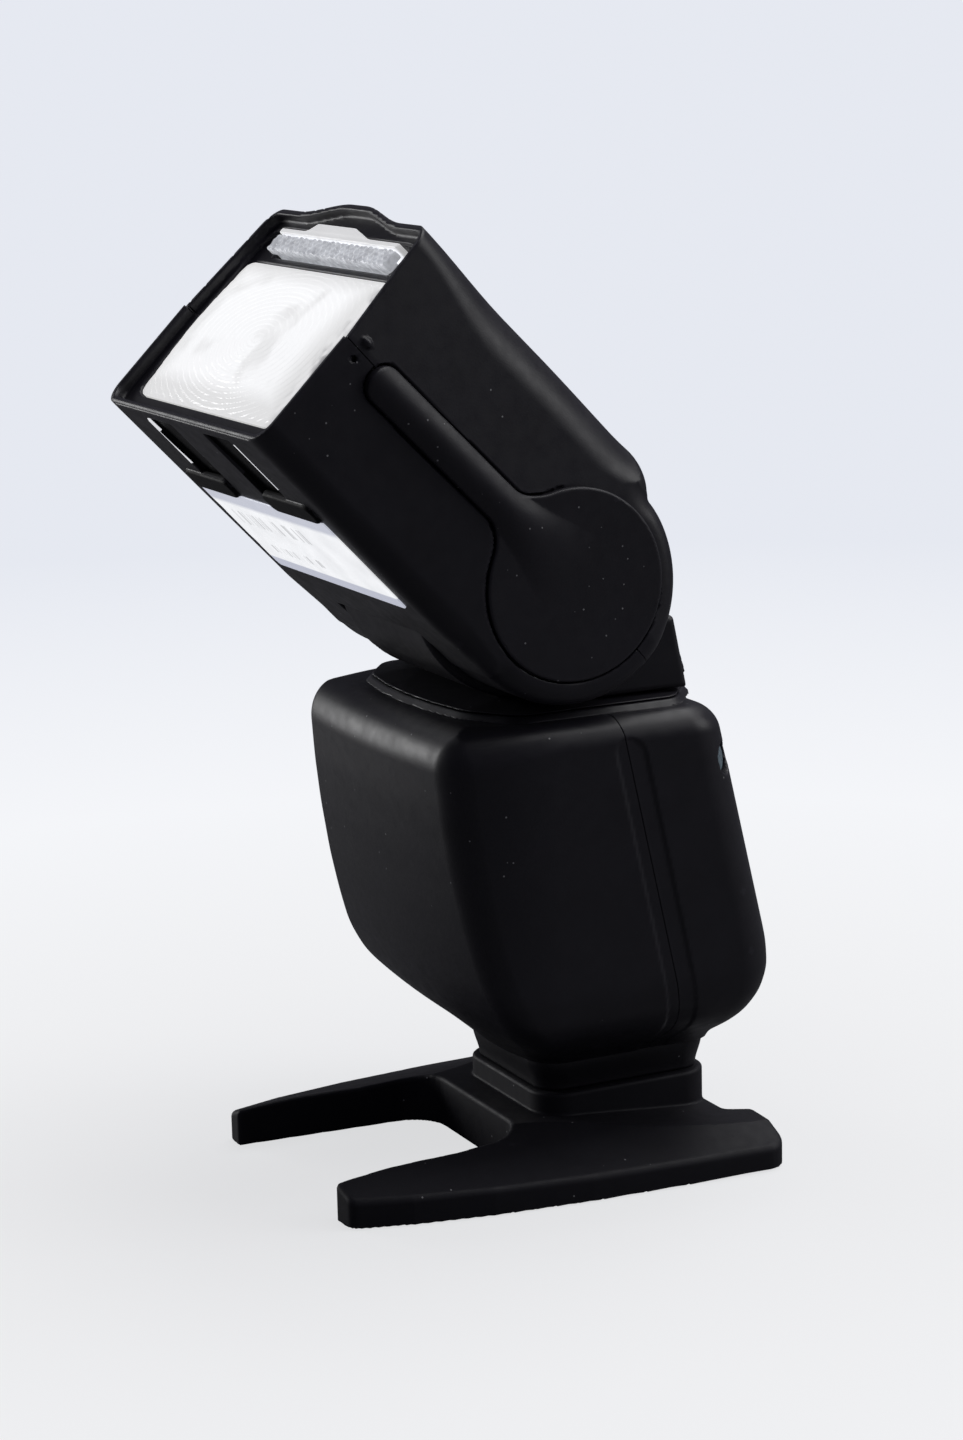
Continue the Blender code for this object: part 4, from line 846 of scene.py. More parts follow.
def paint_underside(lower):
    """Gives the channels' outer edges a painted highlight line; the pads are dark rubber, and the channels'
    insides get the same near-black material as painted shade.
    """
    for slot in ("channel_edge_highlight", "pad_rubber"):
        lower.data.materials.append(PAINTS[slot])
    centre = np.empty(len(lower.data.polygons) * 3)
    lower.data.polygons.foreach_get("center", centre)
    back = np.array(HEAD.inverted())
    x, u, v = (centre.reshape(-1, 3) @ back[:3, :3].T + back[:3, 3]).T
    below = under_line(u) - v
    beyond = np.abs(x) - CHANNEL_X - CHANNEL_HALF
    # Painted highlight: faces along each channel's outer edge.
    bright = (beyond > -0.1) & (beyond < 0.75) & (below > -0.3)
    bright &= (u > CHANNEL_REAR + 4.0) & (u < CHANNEL_FRONT - 0.5)
    rubber = (pad_outline(x, u) < 0.3) & (below > 0.12)
    # Painted shade: the channels' insides take the pads' near-black material.
    channel = (np.abs(np.abs(x) - CHANNEL_X) < CHANNEL_HALF + 0.1) & (u > CHANNEL_REAR - 0.3)
    channel &= (u < CHANNEL_FRONT + 0.2) & (v < -20.0) & (below < -0.25)
    index = np.where(rubber | channel, 2, bright.astype(int))
    lower.data.polygons.foreach_set("material_index", index.astype(np.int32))


def rim_creases(front):
    """The outer and inner edge of the rim, which both lie in its front plane."""
    def plane(x, u, v):
        return u - front

    return [(head_sleeve, plane, 0.5), (lambda x, u, v: -head_sleeve(x, u, v) - RIM_WALL, plane, 0.5)]


def make_head():
    side = HEAD_HALF + HEAD_FLARE * HEAD_FRONT + 1.0
    upper_seam = (head_sleeve, lambda x, u, v: seam_line(u) + HEAD_SEAM_HALF - v, 0.0)
    lower_seam = (head_sleeve, lambda x, u, v: v - seam_line(u) + HEAD_SEAM_HALF, 0.0)
    shell("head_upper", "head_upper_shell", "head", "shell_black", upper_field,
          (-side, -24.5, -10.5), (side, 67.0, 32.5), HEAD_STEP, HEAD,
          [*rim_creases(HEAD_FRONT - UPPER_SET_BACK), upper_seam])
    lower = shell("head_lower", "head_lower_shell", "head", "shell_black", lower_field,
                  (-side, -24.5, -26.5), (side, 67.0, 5.0), HEAD_STEP, HEAD,
                  [*rim_creases(HEAD_FRONT), lower_seam])
    paint_underside(lower)
    for side_name, sign in (("near", 1.0), ("far", -1.0)):
        near_x, far_x = sorted((sign * 35.0, sign * 41.0))
        shell(f"cover_{side_name}", f"side_cover_{side_name}", "head", "cover_black",
              lambda x, u, v: cover_field(sign * x, u, v),
              (near_x, -19.0, -19.5), (far_x, 59.5, 19.5), 0.4, HEAD)


# ------------------------------------------------------------------ head front
LENS_BACK = 60.8
LENS_FACE = 62.8
LENS_BULGE = 1.0
RIB_PITCH = 1.15
RIB_HEIGHT = 0.07
LIP_MIDDLE = (63.35, 20.8)
LIP_HALF = (0.95, 1.8)
CARD_LOW = 22.9
CARD_HIGH = 24.1
CARD_REAR = 32.0
CARD_FRONT = 64.5
TAB_CORNERS = [
    (-17.0, 23.2, 0.4), (16.5, 23.2, 0.4), (9.5, 24.9, 2.0),
    (4.0, 26.2, 1.0), (-12.5, 26.2, 1.0), (-14.5, 24.6, 1.0),
]


def slab(name, low, high, counts, front, back, place, material, corner=0.0):
    """A closed sheet over a grid; front and back give its two heights."""
    a = np.linspace(low[0], high[0], counts[0])
    b = np.linspace(low[1], high[1], counts[1])
    a, b = np.meshgrid(a, b, indexing="ij")
    into = np.clip(corner - np.minimum(b - low[1], high[1] - b), 0.0, corner)
    middle = (low[0] + high[0]) / 2
    lost = corner - np.sqrt(np.maximum(corner**2 - into**2, 0.0))
    a = middle + (a - middle) * (1.0 - lost / (high[0] - middle))
    sheets = [np.stack([a, height(a, b), b], axis=-1).reshape(-1, 3) for height in (front, back)]
    index = np.arange(a.size).reshape(a.shape)
    quads = np.stack([index[:-1, :-1], index[1:, :-1], index[1:, 1:], index[:-1, 1:]], -1)
    quads = quads.reshape(-1, 4)
    rim = np.concatenate([index[:, 0], index[-1, 1:], index[-2::-1, -1], index[0, -2:0:-1]])
    after = np.roll(rim, -1)
    sides = np.stack([rim, rim + a.size, after + a.size, after], axis=1)
    faces = np.concatenate([quads[:, ::-1], quads + a.size, sides])
    made = mesh_object(name, np.concatenate(sheets), faces, place, material)
    made.data.shade_flat()
    return made


def lens_front(x, v):
    """A shallow bulge with fine saw-toothed rings, flat along its edge."""
    middle = (LENS_LOW + LENS_HIGH) / 2
    rise = LENS_BULGE * np.cos((v - middle) / (LENS_HIGH - LENS_LOW) * math.pi)
    ring = np.hypot(x / 1.9, v - middle) / RIB_PITCH
    saw = np.minimum((ring % 1.0) / 0.82, (1.0 - ring % 1.0) / 0.18)
    inset = np.minimum(LENS_HALF - np.abs(x), np.minimum(v - LENS_LOW, LENS_HIGH - v))
    return LENS_FACE + (rise + RIB_HEIGHT * saw) * smooth(inset, 0.3, 1.4)


def wide_lip_field(x, u, v):
    """The wide panel's front lip, slightly uneven like pressed plastic."""
    body = rounded_rect(u - LIP_MIDDLE[0], v - LIP_MIDDLE[1], LIP_HALF[0], LIP_HALF[1], 0.3)
    body = overlap(body, np.abs(x) - PANEL_HALF, 0.3)
    return body + 0.16 * np.sin(x * 2.6) * np.sin(v * 3.4 + x * 0.4) * smooth(u, 63.0, 64.0)


def catchlight_field(x, u, v):
    """A thin white card with a raised finger tab on its front edge."""
    card = overlap(span(v, CARD_LOW, CARD_HIGH), span(u, CARD_REAR, CARD_FRONT), 0.3)
    card = overlap(card, np.abs(x) - PANEL_HALF, 0.5)
    tab = outline_field(x, v, arced(TAB_CORNERS))
    tab = overlap(tab, span(u, CARD_FRONT - 2.3, CARD_FRONT - 0.1), 0.25)
    return merged(card, tab, 0.3)


LABEL_REAR = 19.6
LABEL_FRONT = 43.2
LABEL_WIDE = 29.4
LABEL_PROUD = 0.3


def label_field(x, u, v):
    outline = bar(x, LABEL_WIDE, u, LABEL_REAR, LABEL_FRONT, 1.2)
    depth = under_line(u) - v
    return overlap(outline, span(depth, -0.6, LABEL_PROUD), 0.05)


def make_head_front():
    lens = slab("lens", (-LENS_HALF, LENS_LOW), (LENS_HALF, LENS_HIGH), (281, 141), lens_front,
                lambda x, v: LENS_BACK + 0 * x, HEAD, PAINTS["lens_clear"], LENS_CORNER)
    piece(lens, "head", "lens_clear", "fresnel_lens")
    shell("wide_panel_lip", "wide_panel", "wide_diffuser", "panel_clear", wide_lip_field,
          (-28.0, 61.5, 18.2), (28.0, 65.3, 23.4), 0.2, HEAD)
    lying = HEAD @ Matrix(((1, 0, 0, 0), (0, 0, 1, 0), (0, 1, 0, 0), (0, 0, 0, 1)))
    plate = slab("wide_panel_plate", (-26.4, 32.0), (26.4, 62.6), (221, 61),
                 lambda x, u: 21.0 + 0.18 * np.abs((x / 1.2) % 2.0 - 1.0),
                 lambda x, u: 19.6 - 0.10 * np.abs((u / 1.2) % 2.0 - 1.0),
                 lying, PAINTS["panel_clear"])
    piece(plate, "wide_diffuser", "panel_clear")
    shell("catchlight_card", "catchlight_panel", "catchlight", "panel_white", catchlight_field,
          (-28.0, 31.0, 22.0), (28.0, 65.3, 27.2), 0.3, HEAD)
    shell("label", "underside_label", "head", "label_silver", label_field,
          (-31.0, 18.4, -24.4), (31.0, 44.4, -21.0), 0.3, HEAD)


# ------------------------------------------------------------------ turret
DRUM_RADIUS = 24.3
DRUM_HALF = 17.5
WEB_OUTLINE = [(0.0, 0.0), (23.9, -4.2), (30.5, -12.2), (33.8, -23.3), (-5.8, -23.3)]
TURRET_HALF = 30.4
TURRET_SIDE = [
    (10.0, -17.2, 20.0), (21.0, -15.4, 9.0), (TURRET_HALF, -8.5, 6.0),
    (TURRET_HALF - 0.4, 24.5, 4.0), (20.0, 31.6, 8.0), (10.0, 33.7, 20.0),
]
TURRET_OUTLINE = arced(
    [(0.0, -17.7, 0.0)] + TURRET_SIDE + [(0.0, 34.4, 0.0)] + mirrored(TURRET_SIDE)[len(TURRET_SIDE):])
TURRET_LOW = 93.1
TURRET_RIM = 93.4
TURRET_HIGH = 94.3
NECK_FOOT = 94.0
SEAT_LOW = 91.5
SEAT_MARGIN = 1.5
SADDLE_HALF = 27.4
SADDLE_TOP = -9.7
SADDLE_REAR = 28.7
SADDLE_LEAN = 0.2
SADDLE_RADIUS = 23.5
AXLE_RADIUS = 8.0
AXLE_BORE = 3.6
STEM_HOLE = 6.0
BUSH_HOLE = 9.6


def neck_field(x, y, z):
    """The drum on its web, with the saddle behind and the axle through it."""
    drum = np.hypot(y, z) - DRUM_RADIUS
    web = outline_field(y, z, WEB_OUTLINE)
    foot = NECK_FOOT - TILT_AT.z / MM
    column = np.maximum(merged(drum, web, 1.5), foot - z)
    core = overlap(column, np.abs(x) - DRUM_HALF, 0.35)
    saddle = overlap(SADDLE_RADIUS - np.hypot(y, z), y - SADDLE_REAR + SADDLE_LEAN * (z - foot), 0.8)
    saddle = np.maximum(overlap(saddle, z - SADDLE_TOP, 0.8), np.maximum(foot - z, 2.0 - y))
    core = merged(core, overlap(saddle, np.abs(x) - SADDLE_HALF, 1.2), 0.6)
    axle = overlap(np.hypot(y, z) - AXLE_RADIUS, np.abs(x) - AXLE_HALF + 1.0, 0.3)
    return np.maximum(merged(core, axle, 0.4), AXLE_BORE - np.hypot(y, z))


def turret_field(x, y, z):
    """The turning plate, slightly domed."""
    outline = outline_field(x, y, TURRET_OUTLINE)
    dish = TURRET_RIM + (TURRET_HIGH - TURRET_RIM) * smooth(-outline, 0.3, 12.0)
    plate = overlap(outline, z - dish, 0.3)
    plate = overlap(plate, TURRET_LOW - z, 0.15)
    return np.maximum(plate, STEM_HOLE - np.hypot(x, y - SWIVEL_Y))


def seat_field(x, y, z):
    """The sloping collar on the body that the plate turns on."""
    outline = outline_field(x, y, TURRET_OUTLINE)
    slope = (outline - SEAT_MARGIN + 0.95 * (z - SEAT_LOW)) * 0.72
    plate = overlap(slope, z - (TURRET_LOW - 0.2), 0.2)
    return np.maximum(np.maximum(plate, SEAT_LOW - z), BUSH_HOLE - np.hypot(x, y - SWIVEL_Y))


def make_turret():
    shell("neck", "neck_core", "turret", "turret_black", neck_field,
          (-28.5, -25.5, -24.8), (28.5, 35.0, 25.5), 0.5, NECK)
    shell("turret_plate", "turret_base", "turret", "turret_black", turret_field,
          *around("turret_base", (3, 2, 0.6), (3, 2, 1.6)), 0.4, WORLD)
    shell("seat_ring", "swivel_seat", "flash_body", "turret_black", seat_field,
          *around("swivel_seat", (3, 2, 1.4), (3, 2, 1.2)), 0.4, WORLD)


# ------------------------------------------------------------------ body
BODY_TOP = 91.8
BODY_BOTTOM = 20.6
BODY_FLOOR = 4.2
HOLLOW_FROM = 4.0
BODY_TOP_ROUND = 5.0
FRONT_TOP_ROUND = 8.0
SEAM_HALF_GAP = 0.13
HALF_WIDTH = 37.1
SEAM_LEAN = math.tan(math.radians(12.15))
SEAM_Y = 20.7
SEAM_Z = 38.0
FRONT_BULGE = 2.6
FRONT_SET_FORWARD = 1.6
SIDE_TAPER = 3.4
SIDE_TAPER_FROM = 4.0
SIDE_TAPER_RUN = 18.0
# Each line is (height, value)
FRONT_LINE = eased(
    [(20.6, 1.0), (26.5, -5.6), (29.7, -10.0), (34.5, -14.4), (41.0, -17.6), (48.0, -19.6),
     (56.0, -21.5), (67.0, -23.4), (76.0, -24.5), (91.8, -25.6)], 1.6)
REAR_LINE = eased(
    [(20.6, 39.2), (26.5, 39.7), (31.0, 41.2), (34.0, 42.5), (38.5, 43.7), (44.0, 43.4),
     (91.8, 32.5)], 1.4)
WIDTH_LINE = eased(
    [(20.6, 17.9), (22.6, 19.6), (24.6, 24.0), (27.0, 28.6), (30.0, 32.9), (34.0, 35.8),
     (39.0, HALF_WIDTH), (91.8, HALF_WIDTH)], 1.2)
FRONT_RADIUS = eased([(20.6, 5.0), (26.5, 5.5), (34.5, 5.0), (41.0, 4.6), (91.8, 4.6)], 2.0)
REAR_RADIUS = eased([(20.6, 5.0), (30.0, 7.5), (39.0, 9.0), (91.8, 9.0)], 2.0)
STRIP_HALF = 3.1
STRIP_TOP = 88.0
STRIP_DEPTH = 0.35
STRIP_SHIFT = 0.5
BODY_STEP = 0.55
DOOR_FRONT = 0.0
DOOR_REAR = 36.0
DOOR_LOW = -19.0
DOOR_HIGH = 19.0
DOOR_IN = -35.1
HINGE_CLEAR = 1.8
HINGE_RADIUS = 1.0
LATCH_BACK = 26.5
LATCH_POCKET = -36.2
GRIP_UP = 12.0
GRIP_IN = -36.7


def seam_side(y, z):
    """Distance behind the raked seam between the two body shells."""
    return y - SEAM_Y - (SEAM_Z - z) * SEAM_LEAN


def body_field(x, y, z):
    """The body's outside: front, side and rear lines, with the raised strip at the seam."""
    half = WIDTH_LINE(z)
    front = FRONT_LINE(z)
    strip = bar(seam_side(y, z) - STRIP_SHIFT, STRIP_HALF, z, STRIP_TOP - 100.0, STRIP_TOP, 3.0)
    side = np.abs(x) - half + STRIP_DEPTH * smooth(-strip, -0.4, 0.5)
    ahead = np.maximum(-y - SIDE_TAPER_FROM, 0.0) / SIDE_TAPER_RUN
    side = side + SIDE_TAPER * ahead**2 * smooth(half, 24.0, HALF_WIDTH)
    nose = front - FRONT_SET_FORWARD + FRONT_BULGE * (x / half) ** 2 - y
    plan = overlap(nose, side, FRONT_RADIUS(z))
    plan = np.maximum(plan, overlap(y - REAR_LINE(z), side, REAR_RADIUS(z)))
    top_round = BODY_TOP_ROUND + (FRONT_TOP_ROUND - BODY_TOP_ROUND) * smooth(-y, 2.0, 22.0)
    body = overlap(plan, z - BODY_TOP, top_round)
    return np.maximum(body, BODY_BOTTOM - z)


def door_box(x, y, z, grow):
    """The block that the battery door takes out of the far side."""
    _, back, up = local(DOOR, x, y, z)
    middle = (DOOR_FRONT + DOOR_REAR) / 2
    outline = bar(back - middle, DOOR_REAR - middle + grow, up, DOOR_LOW - grow, DOOR_HIGH + grow, 0.8)
    return outline, back, up


def shell_field(x, y, z):
    """Both body shells in one: hollow, with the bush's hole, the doorway and its hinge groove."""
    body = body_field(x, y, z)
    inner = body_field(x, y, np.maximum(z, BODY_BOTTOM + HOLLOW_FROM))
    hollow = np.maximum(np.maximum(inner, z - BODY_TOP) + WALL, BODY_BOTTOM + BODY_FLOOR - z)
    stem = np.hypot(x, y - SWIVEL_Y) - BUSH_HOLE
    body = np.maximum(body, -hollow)
    body = np.maximum(body, -np.maximum(stem, 80.0 - z))
    outline, back, up = door_box(x, y, z, GAP)
    doorway = np.maximum(outline, x + 30.0)
    body = carved(body, doorway, 0.2)
    barrel = np.hypot(x - DOOR_AT.x / MM, back) - HINGE_CLEAR
    return np.maximum(body, -np.maximum(barrel, np.abs(up) - DOOR_HIGH - GAP))


def front_field(x, y, z):
    gap = groove(body_field(x, y, z), SEAM_HALF_GAP)
    return overlap(shell_field(x, y, z), seam_side(y, z) + gap, 0.12)


LCD_DROP = -11.2
LCD_HALF = (21.0, 9.8)
FUNCTION_ROW = 3.4
FUNCTION_XS = (-16.5, -5.5, 5.5, 16.5)
DIAL_RADIUS = 8.6
KEY_HALF = (3.6, 1.7)
ROUND_KEYS = {
    "mode_button": (20.5, 10.6), "zoom_button": (20.5, 19.8), "test_button": (-20.5, 10.0),
}
ROUND_KEY_RADIUS = 3.0
SWITCH_AT = (-20.5, 19.6)
SWITCH_RADIUS = 4.6
CORNER_KEY_OUT = -Vector(JOINTS["wireless_button_press"]["axis"]).normalized()
CORNER_KEY_RADIUS = 2.9
CORNER_KEY_LIFT = 1.3


def corner_frame():
    low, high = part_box("wireless_button")
    middle = (low + high) / 2 + CORNER_KEY_OUT * CORNER_KEY_LIFT * MM
    across = CORNER_KEY_OUT.cross(Vector((0, 0, 1))).normalized()
    return laid(middle, across, CORNER_KEY_OUT.cross(across), CORNER_KEY_OUT)


CORNER = corner_frame()


def rear_field(x, y, z):
    """The rear shell, with a hole for each control."""
    gap = groove(body_field(x, y, z), SEAM_HALF_GAP)
    body = overlap(shell_field(x, y, z), gap - seam_side(y, z), 0.12)
    across, down, out = local(PANEL, x, y, z)
    holes = rounded_rect(across, down - LCD_DROP, LCD_HALF[0] + GAP, LCD_HALF[1] + GAP, 1.8)
    key_half = [half + GAP for half in KEY_HALF]
    for key_x in FUNCTION_XS:
        key = rounded_rect(across - key_x, down - FUNCTION_ROW, *key_half, 1.2)
        holes = np.minimum(holes, key)
    round_holes = [(*at, ROUND_KEY_RADIUS) for at in ROUND_KEYS.values()]
    round_holes += [(0.0, DIAL_DROP, DIAL_RADIUS), (*SWITCH_AT, SWITCH_RADIUS)]
    for hole_x, hole_y, radius in round_holes:
        holes = np.minimum(holes, np.hypot(across - hole_x, down - hole_y) - radius - GAP)
    body = carved(body, np.maximum(holes, np.abs(out) - 9.0), 0.25)
    a, b, c = local(CORNER, x, y, z)
    hole = np.maximum(np.hypot(a, b) - CORNER_KEY_RADIUS - GAP, np.abs(c) - 6.0)
    return carved(body, hole, 0.25)


def door_field(x, y, z):
    """The door's part of the skin, with hinge barrel, latch pocket and ribbed grip."""
    outline, back, up = door_box(x, y, z, 0.0)
    body = overlap(np.maximum(body_field(x, y, z), x - DOOR_IN), outline, 0.35)
    barrel = np.hypot(x - DOOR_AT.x / MM, back) - HINGE_RADIUS
    barrel = overlap(barrel, np.abs(up) - DOOR_HIGH, 0.15)
    body = merged(body, barrel, 0.3)
    pocket = rounded_rect(back - LATCH_BACK, up + 1.5, 2.9, 5.8, 0.8)
    pocket = np.maximum(pocket, x - LATCH_POCKET)
    ribs = np.abs((up - GRIP_UP) % 2.0 - 1.0) - 0.45
    grip = rounded_rect(back - LATCH_BACK, up - GRIP_UP, 5.0, 4.2, 0.6)
    grip = np.maximum(np.maximum(grip, ribs), x - GRIP_IN)
    body = carved(body, pocket, 0.2)
    return carved(body, grip, 0.15)


def make_body():
    for name, node_name, field, step, seam in (
        ("body_front", "front_shell", front_field, BODY_STEP,
         lambda x, y, z: seam_side(y, z) + SEAM_HALF_GAP),
        ("body_rear", "rear_shell", rear_field, 0.5,
         lambda x, y, z: SEAM_HALF_GAP - seam_side(y, z)),
    ):
        low, high = around(node_name, (1, 1, 1), (1, 1, 1))
        low[2] = BODY_BOTTOM - 1
        shell(name, node_name, "flash_body", "shell_black", field, low, high, step, WORLD,
              [(body_field, seam, 0.0)])
    shell("door", "battery_door", "door", "shell_black", door_field,
          *around("battery_door", (1, 1, 1), (1, 1, 1)), 0.4, WORLD)


# ------------------------------------------------------------------ controls
KEY_IN = -3.2
KEY_OUT = 0.7
DIAL_IN = -3.4
DIAL_OUT = 1.2
SET_RADIUS = 4.2
SET_OUT = 0.9
SWITCH_OUT = 0.6
CONTROL_STEP = 0.22


def cap(name, node_name, body, place, outline, high, extent, low=KEY_IN, rounding=0.45,
        slot="button_grey"):
    """A control with a rounded rim; high is a height field over it, extent its half size."""
    def field(a, b, c):
        return overlap(overlap(outline(a, b), c - high(a, b), rounding), low - c, 0.2)

    far_a, far_b = extent
    shell(name, node_name, body, slot, field, (-far_a, -far_b, low - 0.6), (far_a, far_b, 3.2),
          CONTROL_STEP, place)


def panel_place(x, y):
    return PANEL @ Matrix.Translation((x, y, 0.0))


def dished(height, reach, depth):
    return lambda a, b: height - depth * (1.0 - smooth(np.hypot(a, b), 0.0, reach))


def disc(radius):
    return lambda a, b: np.hypot(a, b) - radius


def dial_outline(a, b):
    """The dial's ring, with fine notches round its edge."""
    notch = 0.14 + 0.14 * np.cos(48 * np.arctan2(b, a))
    distance = np.hypot(a, b)
    return np.maximum(distance - DIAL_RADIUS + notch, SET_RADIUS + GAP - distance)


def dial_top(a, b):
    """A shallow ring groove with four raised marks."""
    ring = 1.0 - smooth(np.abs(np.hypot(a, b) - 6.5), 0.9, 1.7)
    marks = smooth(np.cos(4 * np.arctan2(b, a)), 0.985, 0.998) * ring
    return DIAL_OUT - 0.30 * ring + 0.18 * marks


def switch_top(a, b):
    grip = rounded_rect(a, b + 0.4, 1.0, 3.8, 0.9)
    return SWITCH_OUT + 1.6 * smooth(-grip, -0.25, 0.5) + 0 * a


def window_field(a, b, c):
    pane = rounded_rect(a, b - LCD_DROP, LCD_HALF[0], LCD_HALF[1], 1.5)
    return overlap(pane, span(c, -1.9, -0.1), 0.3)


def latch_field(a, b, c):
    """The door's slider, ribbed across for the thumb."""
    plate = rounded_rect(b - LATCH_BACK, c, 2.6, 4.0, 0.6)
    ribs = 0.22 * np.cos((c - 0.2) * 2 * math.pi / 1.3) * (1.0 - smooth(np.abs(c), 2.6, 3.2))
    return overlap(plate, span(a, -1.4 + ribs * 0.5 + 0.11, -0.3), 0.25)


def function_key(a, b):
    return rounded_rect(a, b, *KEY_HALF, 1.1)


def function_key_top(a, b):
    return KEY_OUT - 0.22 * (1.0 - smooth(np.abs(b), 0.0, KEY_HALF[1])) + 0 * a


def make_controls():
    for number, x in enumerate(FUNCTION_XS, 1):
        cap(f"key_f{number}", f"function_button_{number}", f"function_key_{number}",
            panel_place(x, FUNCTION_ROW), function_key, function_key_top, (4.4, 2.5))
    for key_name, at in ROUND_KEYS.items():
        cap(f"key_{key_name[:4]}", key_name, key_name.replace("_button", "_key"),
            panel_place(*at), disc(ROUND_KEY_RADIUS), dished(KEY_OUT, 2.8, 0.25), (3.8, 3.8))
    middle = panel_place(0.0, DIAL_DROP)
    cap("dial_ring", "select_dial", "dial", middle, dial_outline, dial_top, (9.4, 9.4), DIAL_IN, 0.35)
    cap("set_cap", "set_button", "set_key", middle, disc(SET_RADIUS), dished(SET_OUT, 3.9, 0.3),
        (5.0, 5.0))
    cap("switch_knob", "power_switch", "switch", panel_place(*SWITCH_AT), disc(SWITCH_RADIUS),
        switch_top, (5.4, 5.4), DIAL_IN, 0.3)
    cap("corner_button", "wireless_button", "wireless_key", CORNER, disc(CORNER_KEY_RADIUS),
        lambda a, b: 0.6 - 0.05 * np.hypot(a, b), (3.6, 3.6), rounding=0.5, slot="button_blue")
    shell("display_window", "lcd_window", "flash_body", "window_clear", window_field,
          (-22.0, -22.0, -2.6), (22.0, -0.4, 0.6), 0.3, PANEL)
    shell("latch_slider", "door_latch", "latch", "button_grey", latch_field,
          (-2.2, LATCH_BACK - 3.4, -4.8), (0.4, LATCH_BACK + 3.4, 4.8), CONTROL_STEP,
          DOOR)


LEVER_OUTLINE = [
    (-3.4, -3.2, 2.0), (3.4, -3.2, 2.0), (3.4, 10.0, 1.0), (5.2, 11.0, 0.8), (5.2, 13.6, 1.0),
    (-5.2, 13.6, 1.0), (-5.2, 11.0, 0.8), (-3.4, 10.0, 1.0),
]


def make_lever():
    """The lock lever: a flat arm that turns on the foot, ribbed at its end."""
    margin = (0.8, 0.8, 0.8)
    low, high = around("lock_lever", margin, margin)
    pivot = JOINTS["lock_lever_turn"]["pos_m"][1] / MM

    def lever_field(x, y, z):
        plan = outline_field(x, y - pivot, arced(LEVER_OUTLINE))
        ribs = 0.2 * smooth(np.cos(x * 2 * math.pi / 1.4), 0.2, 0.8) * smooth(y - pivot, 11.6, 12.4)
        arm = overlap(plan + ribs, span(z, low[2] + margin[2], high[2] - margin[2]), 0.3)
        return np.maximum(arm, 1.8 - np.hypot(x, y - pivot))

    shell("lever_arm", "lock_lever", "lever", "button_grey", lever_field, low, high, 0.25, WORLD)


def finish_kept_nodes():
    """Gives every CAD node that still shows a material of its own."""
    for part in frame["record"]["subparts"]:
        kept = frame["nodes"][part["node"]]
        material = PAINTS[part["material_slot"]]
        if not kept.material_slots:
            kept.data.materials.append(material)
        for used in kept.material_slots:
            used.link = "OBJECT"
            used.material = material


# ------------------------------------------------------------------ foot and stand
NECK_HALF = 17.7
NECK_FRONT = 0.9
NECK_REAR = 39.0
NECK_RADIUS = 6.5
NECK_TAPER = 1.3
NECK_BOTTOM = 14.62
DECK_FRONT = 10.3
DECK_BACK = 7.4
BLOCK_TOP = 14.5
BLOCK_BOTTOM = 4.0
SHOE_Y = 19.9
BLOCK_HALF = (18.2, 18.9)
PEDESTAL_HALF = (6.2, 8.7)
LEVER_POST_Y = 30.0
LOCK_PIN_Y = 14.0
POST_RADIUS = 1.5
SOCKET_Y = 4.0
SOCKET_RADIUS = 5.5
SOCKET_TOP = 7.0
# Cuts that are open to the rear are (low, high, half width, front end)
LEVER_POCKET = (17.1, 19.7, 13.0, 24.0)
STAND_CUTS = [
    (10.2, 12.85, 9.6, 10.5),  # slot for the shoe plate
    (11.0, 30.0, 6.5, 10.6),  # opening for the pedestal
    (7.8, 14.0, 1.6, 12.2),  # groove for the lock pin
]
STAND_OUTLINE = arced(mirrored([
    (24.4, -45.8, 2.0), (29.8, -45.3, 2.2), (33.3, -34.0, 0.0), (36.4, -18.5, 0.0),
    (38.7, 1.0, 0.0), (39.8, 21.0, 0.0), (40.3, 42.8, 4.2), (25.0, 43.6, 1.6), (22.6, 38.6, 1.4),
]))
ROOT_OUTLINE = arced([(-21.0, -5.2, 7.5), (21.0, -5.2, 7.5), (24.9, -60.0, 0.0), (-24.9, -60.0, 0.0)])
# Along the stand, as (y, value): how far out its edge is, the edge's height, the deck's slope
STAND_EDGE = [(-45.2, 29.6), (-34.0, 33.3), (-18.5, 36.4), (1.0, 38.7), (21.0, 39.8), (42.8, 40.3)]
RIM_HEIGHT = [(-45.0, 5.6), (43.0, 4.5)]
DECK_SLOPE = [(-45.0, 0.36), (-20.0, 0.23), (0.0, 0.27), (20.0, 0.36)]


def rear_cut(x, y, z, low, high, half, front):
    return np.maximum(span(z, low, high), np.maximum(np.abs(x) - half, front - y))


def foot_field(x, y, z):
    """The foot: a band under the body, a pedestal for the shoe and a pocket for the lever."""
    plan = bar(x, NECK_HALF, y, NECK_FRONT, NECK_REAR, NECK_RADIUS)
    plan = plan + NECK_TAPER * smooth(-z, -BODY_BOTTOM, -NECK_BOTTOM)
    band = overlap(plan, span(z, NECK_BOTTOM, BODY_BOTTOM + 1.0), 0.4)
    pedestal = rounded_rect(x, y - SHOE_Y, *PEDESTAL_HALF, 0.5)
    pedestal = np.maximum(pedestal, span(z, 12.8, 17.2))
    body = carved(np.minimum(band, pedestal), rear_cut(x, y, z, *LEVER_POCKET), 0.2)
    post = np.maximum(np.hypot(x, y - LEVER_POST_Y) - POST_RADIUS, span(z, 16.9, 20.0))
    pin = np.hypot(x, y - LOCK_PIN_Y) - POST_RADIUS
    return np.maximum(np.minimum(body, post), -pin)


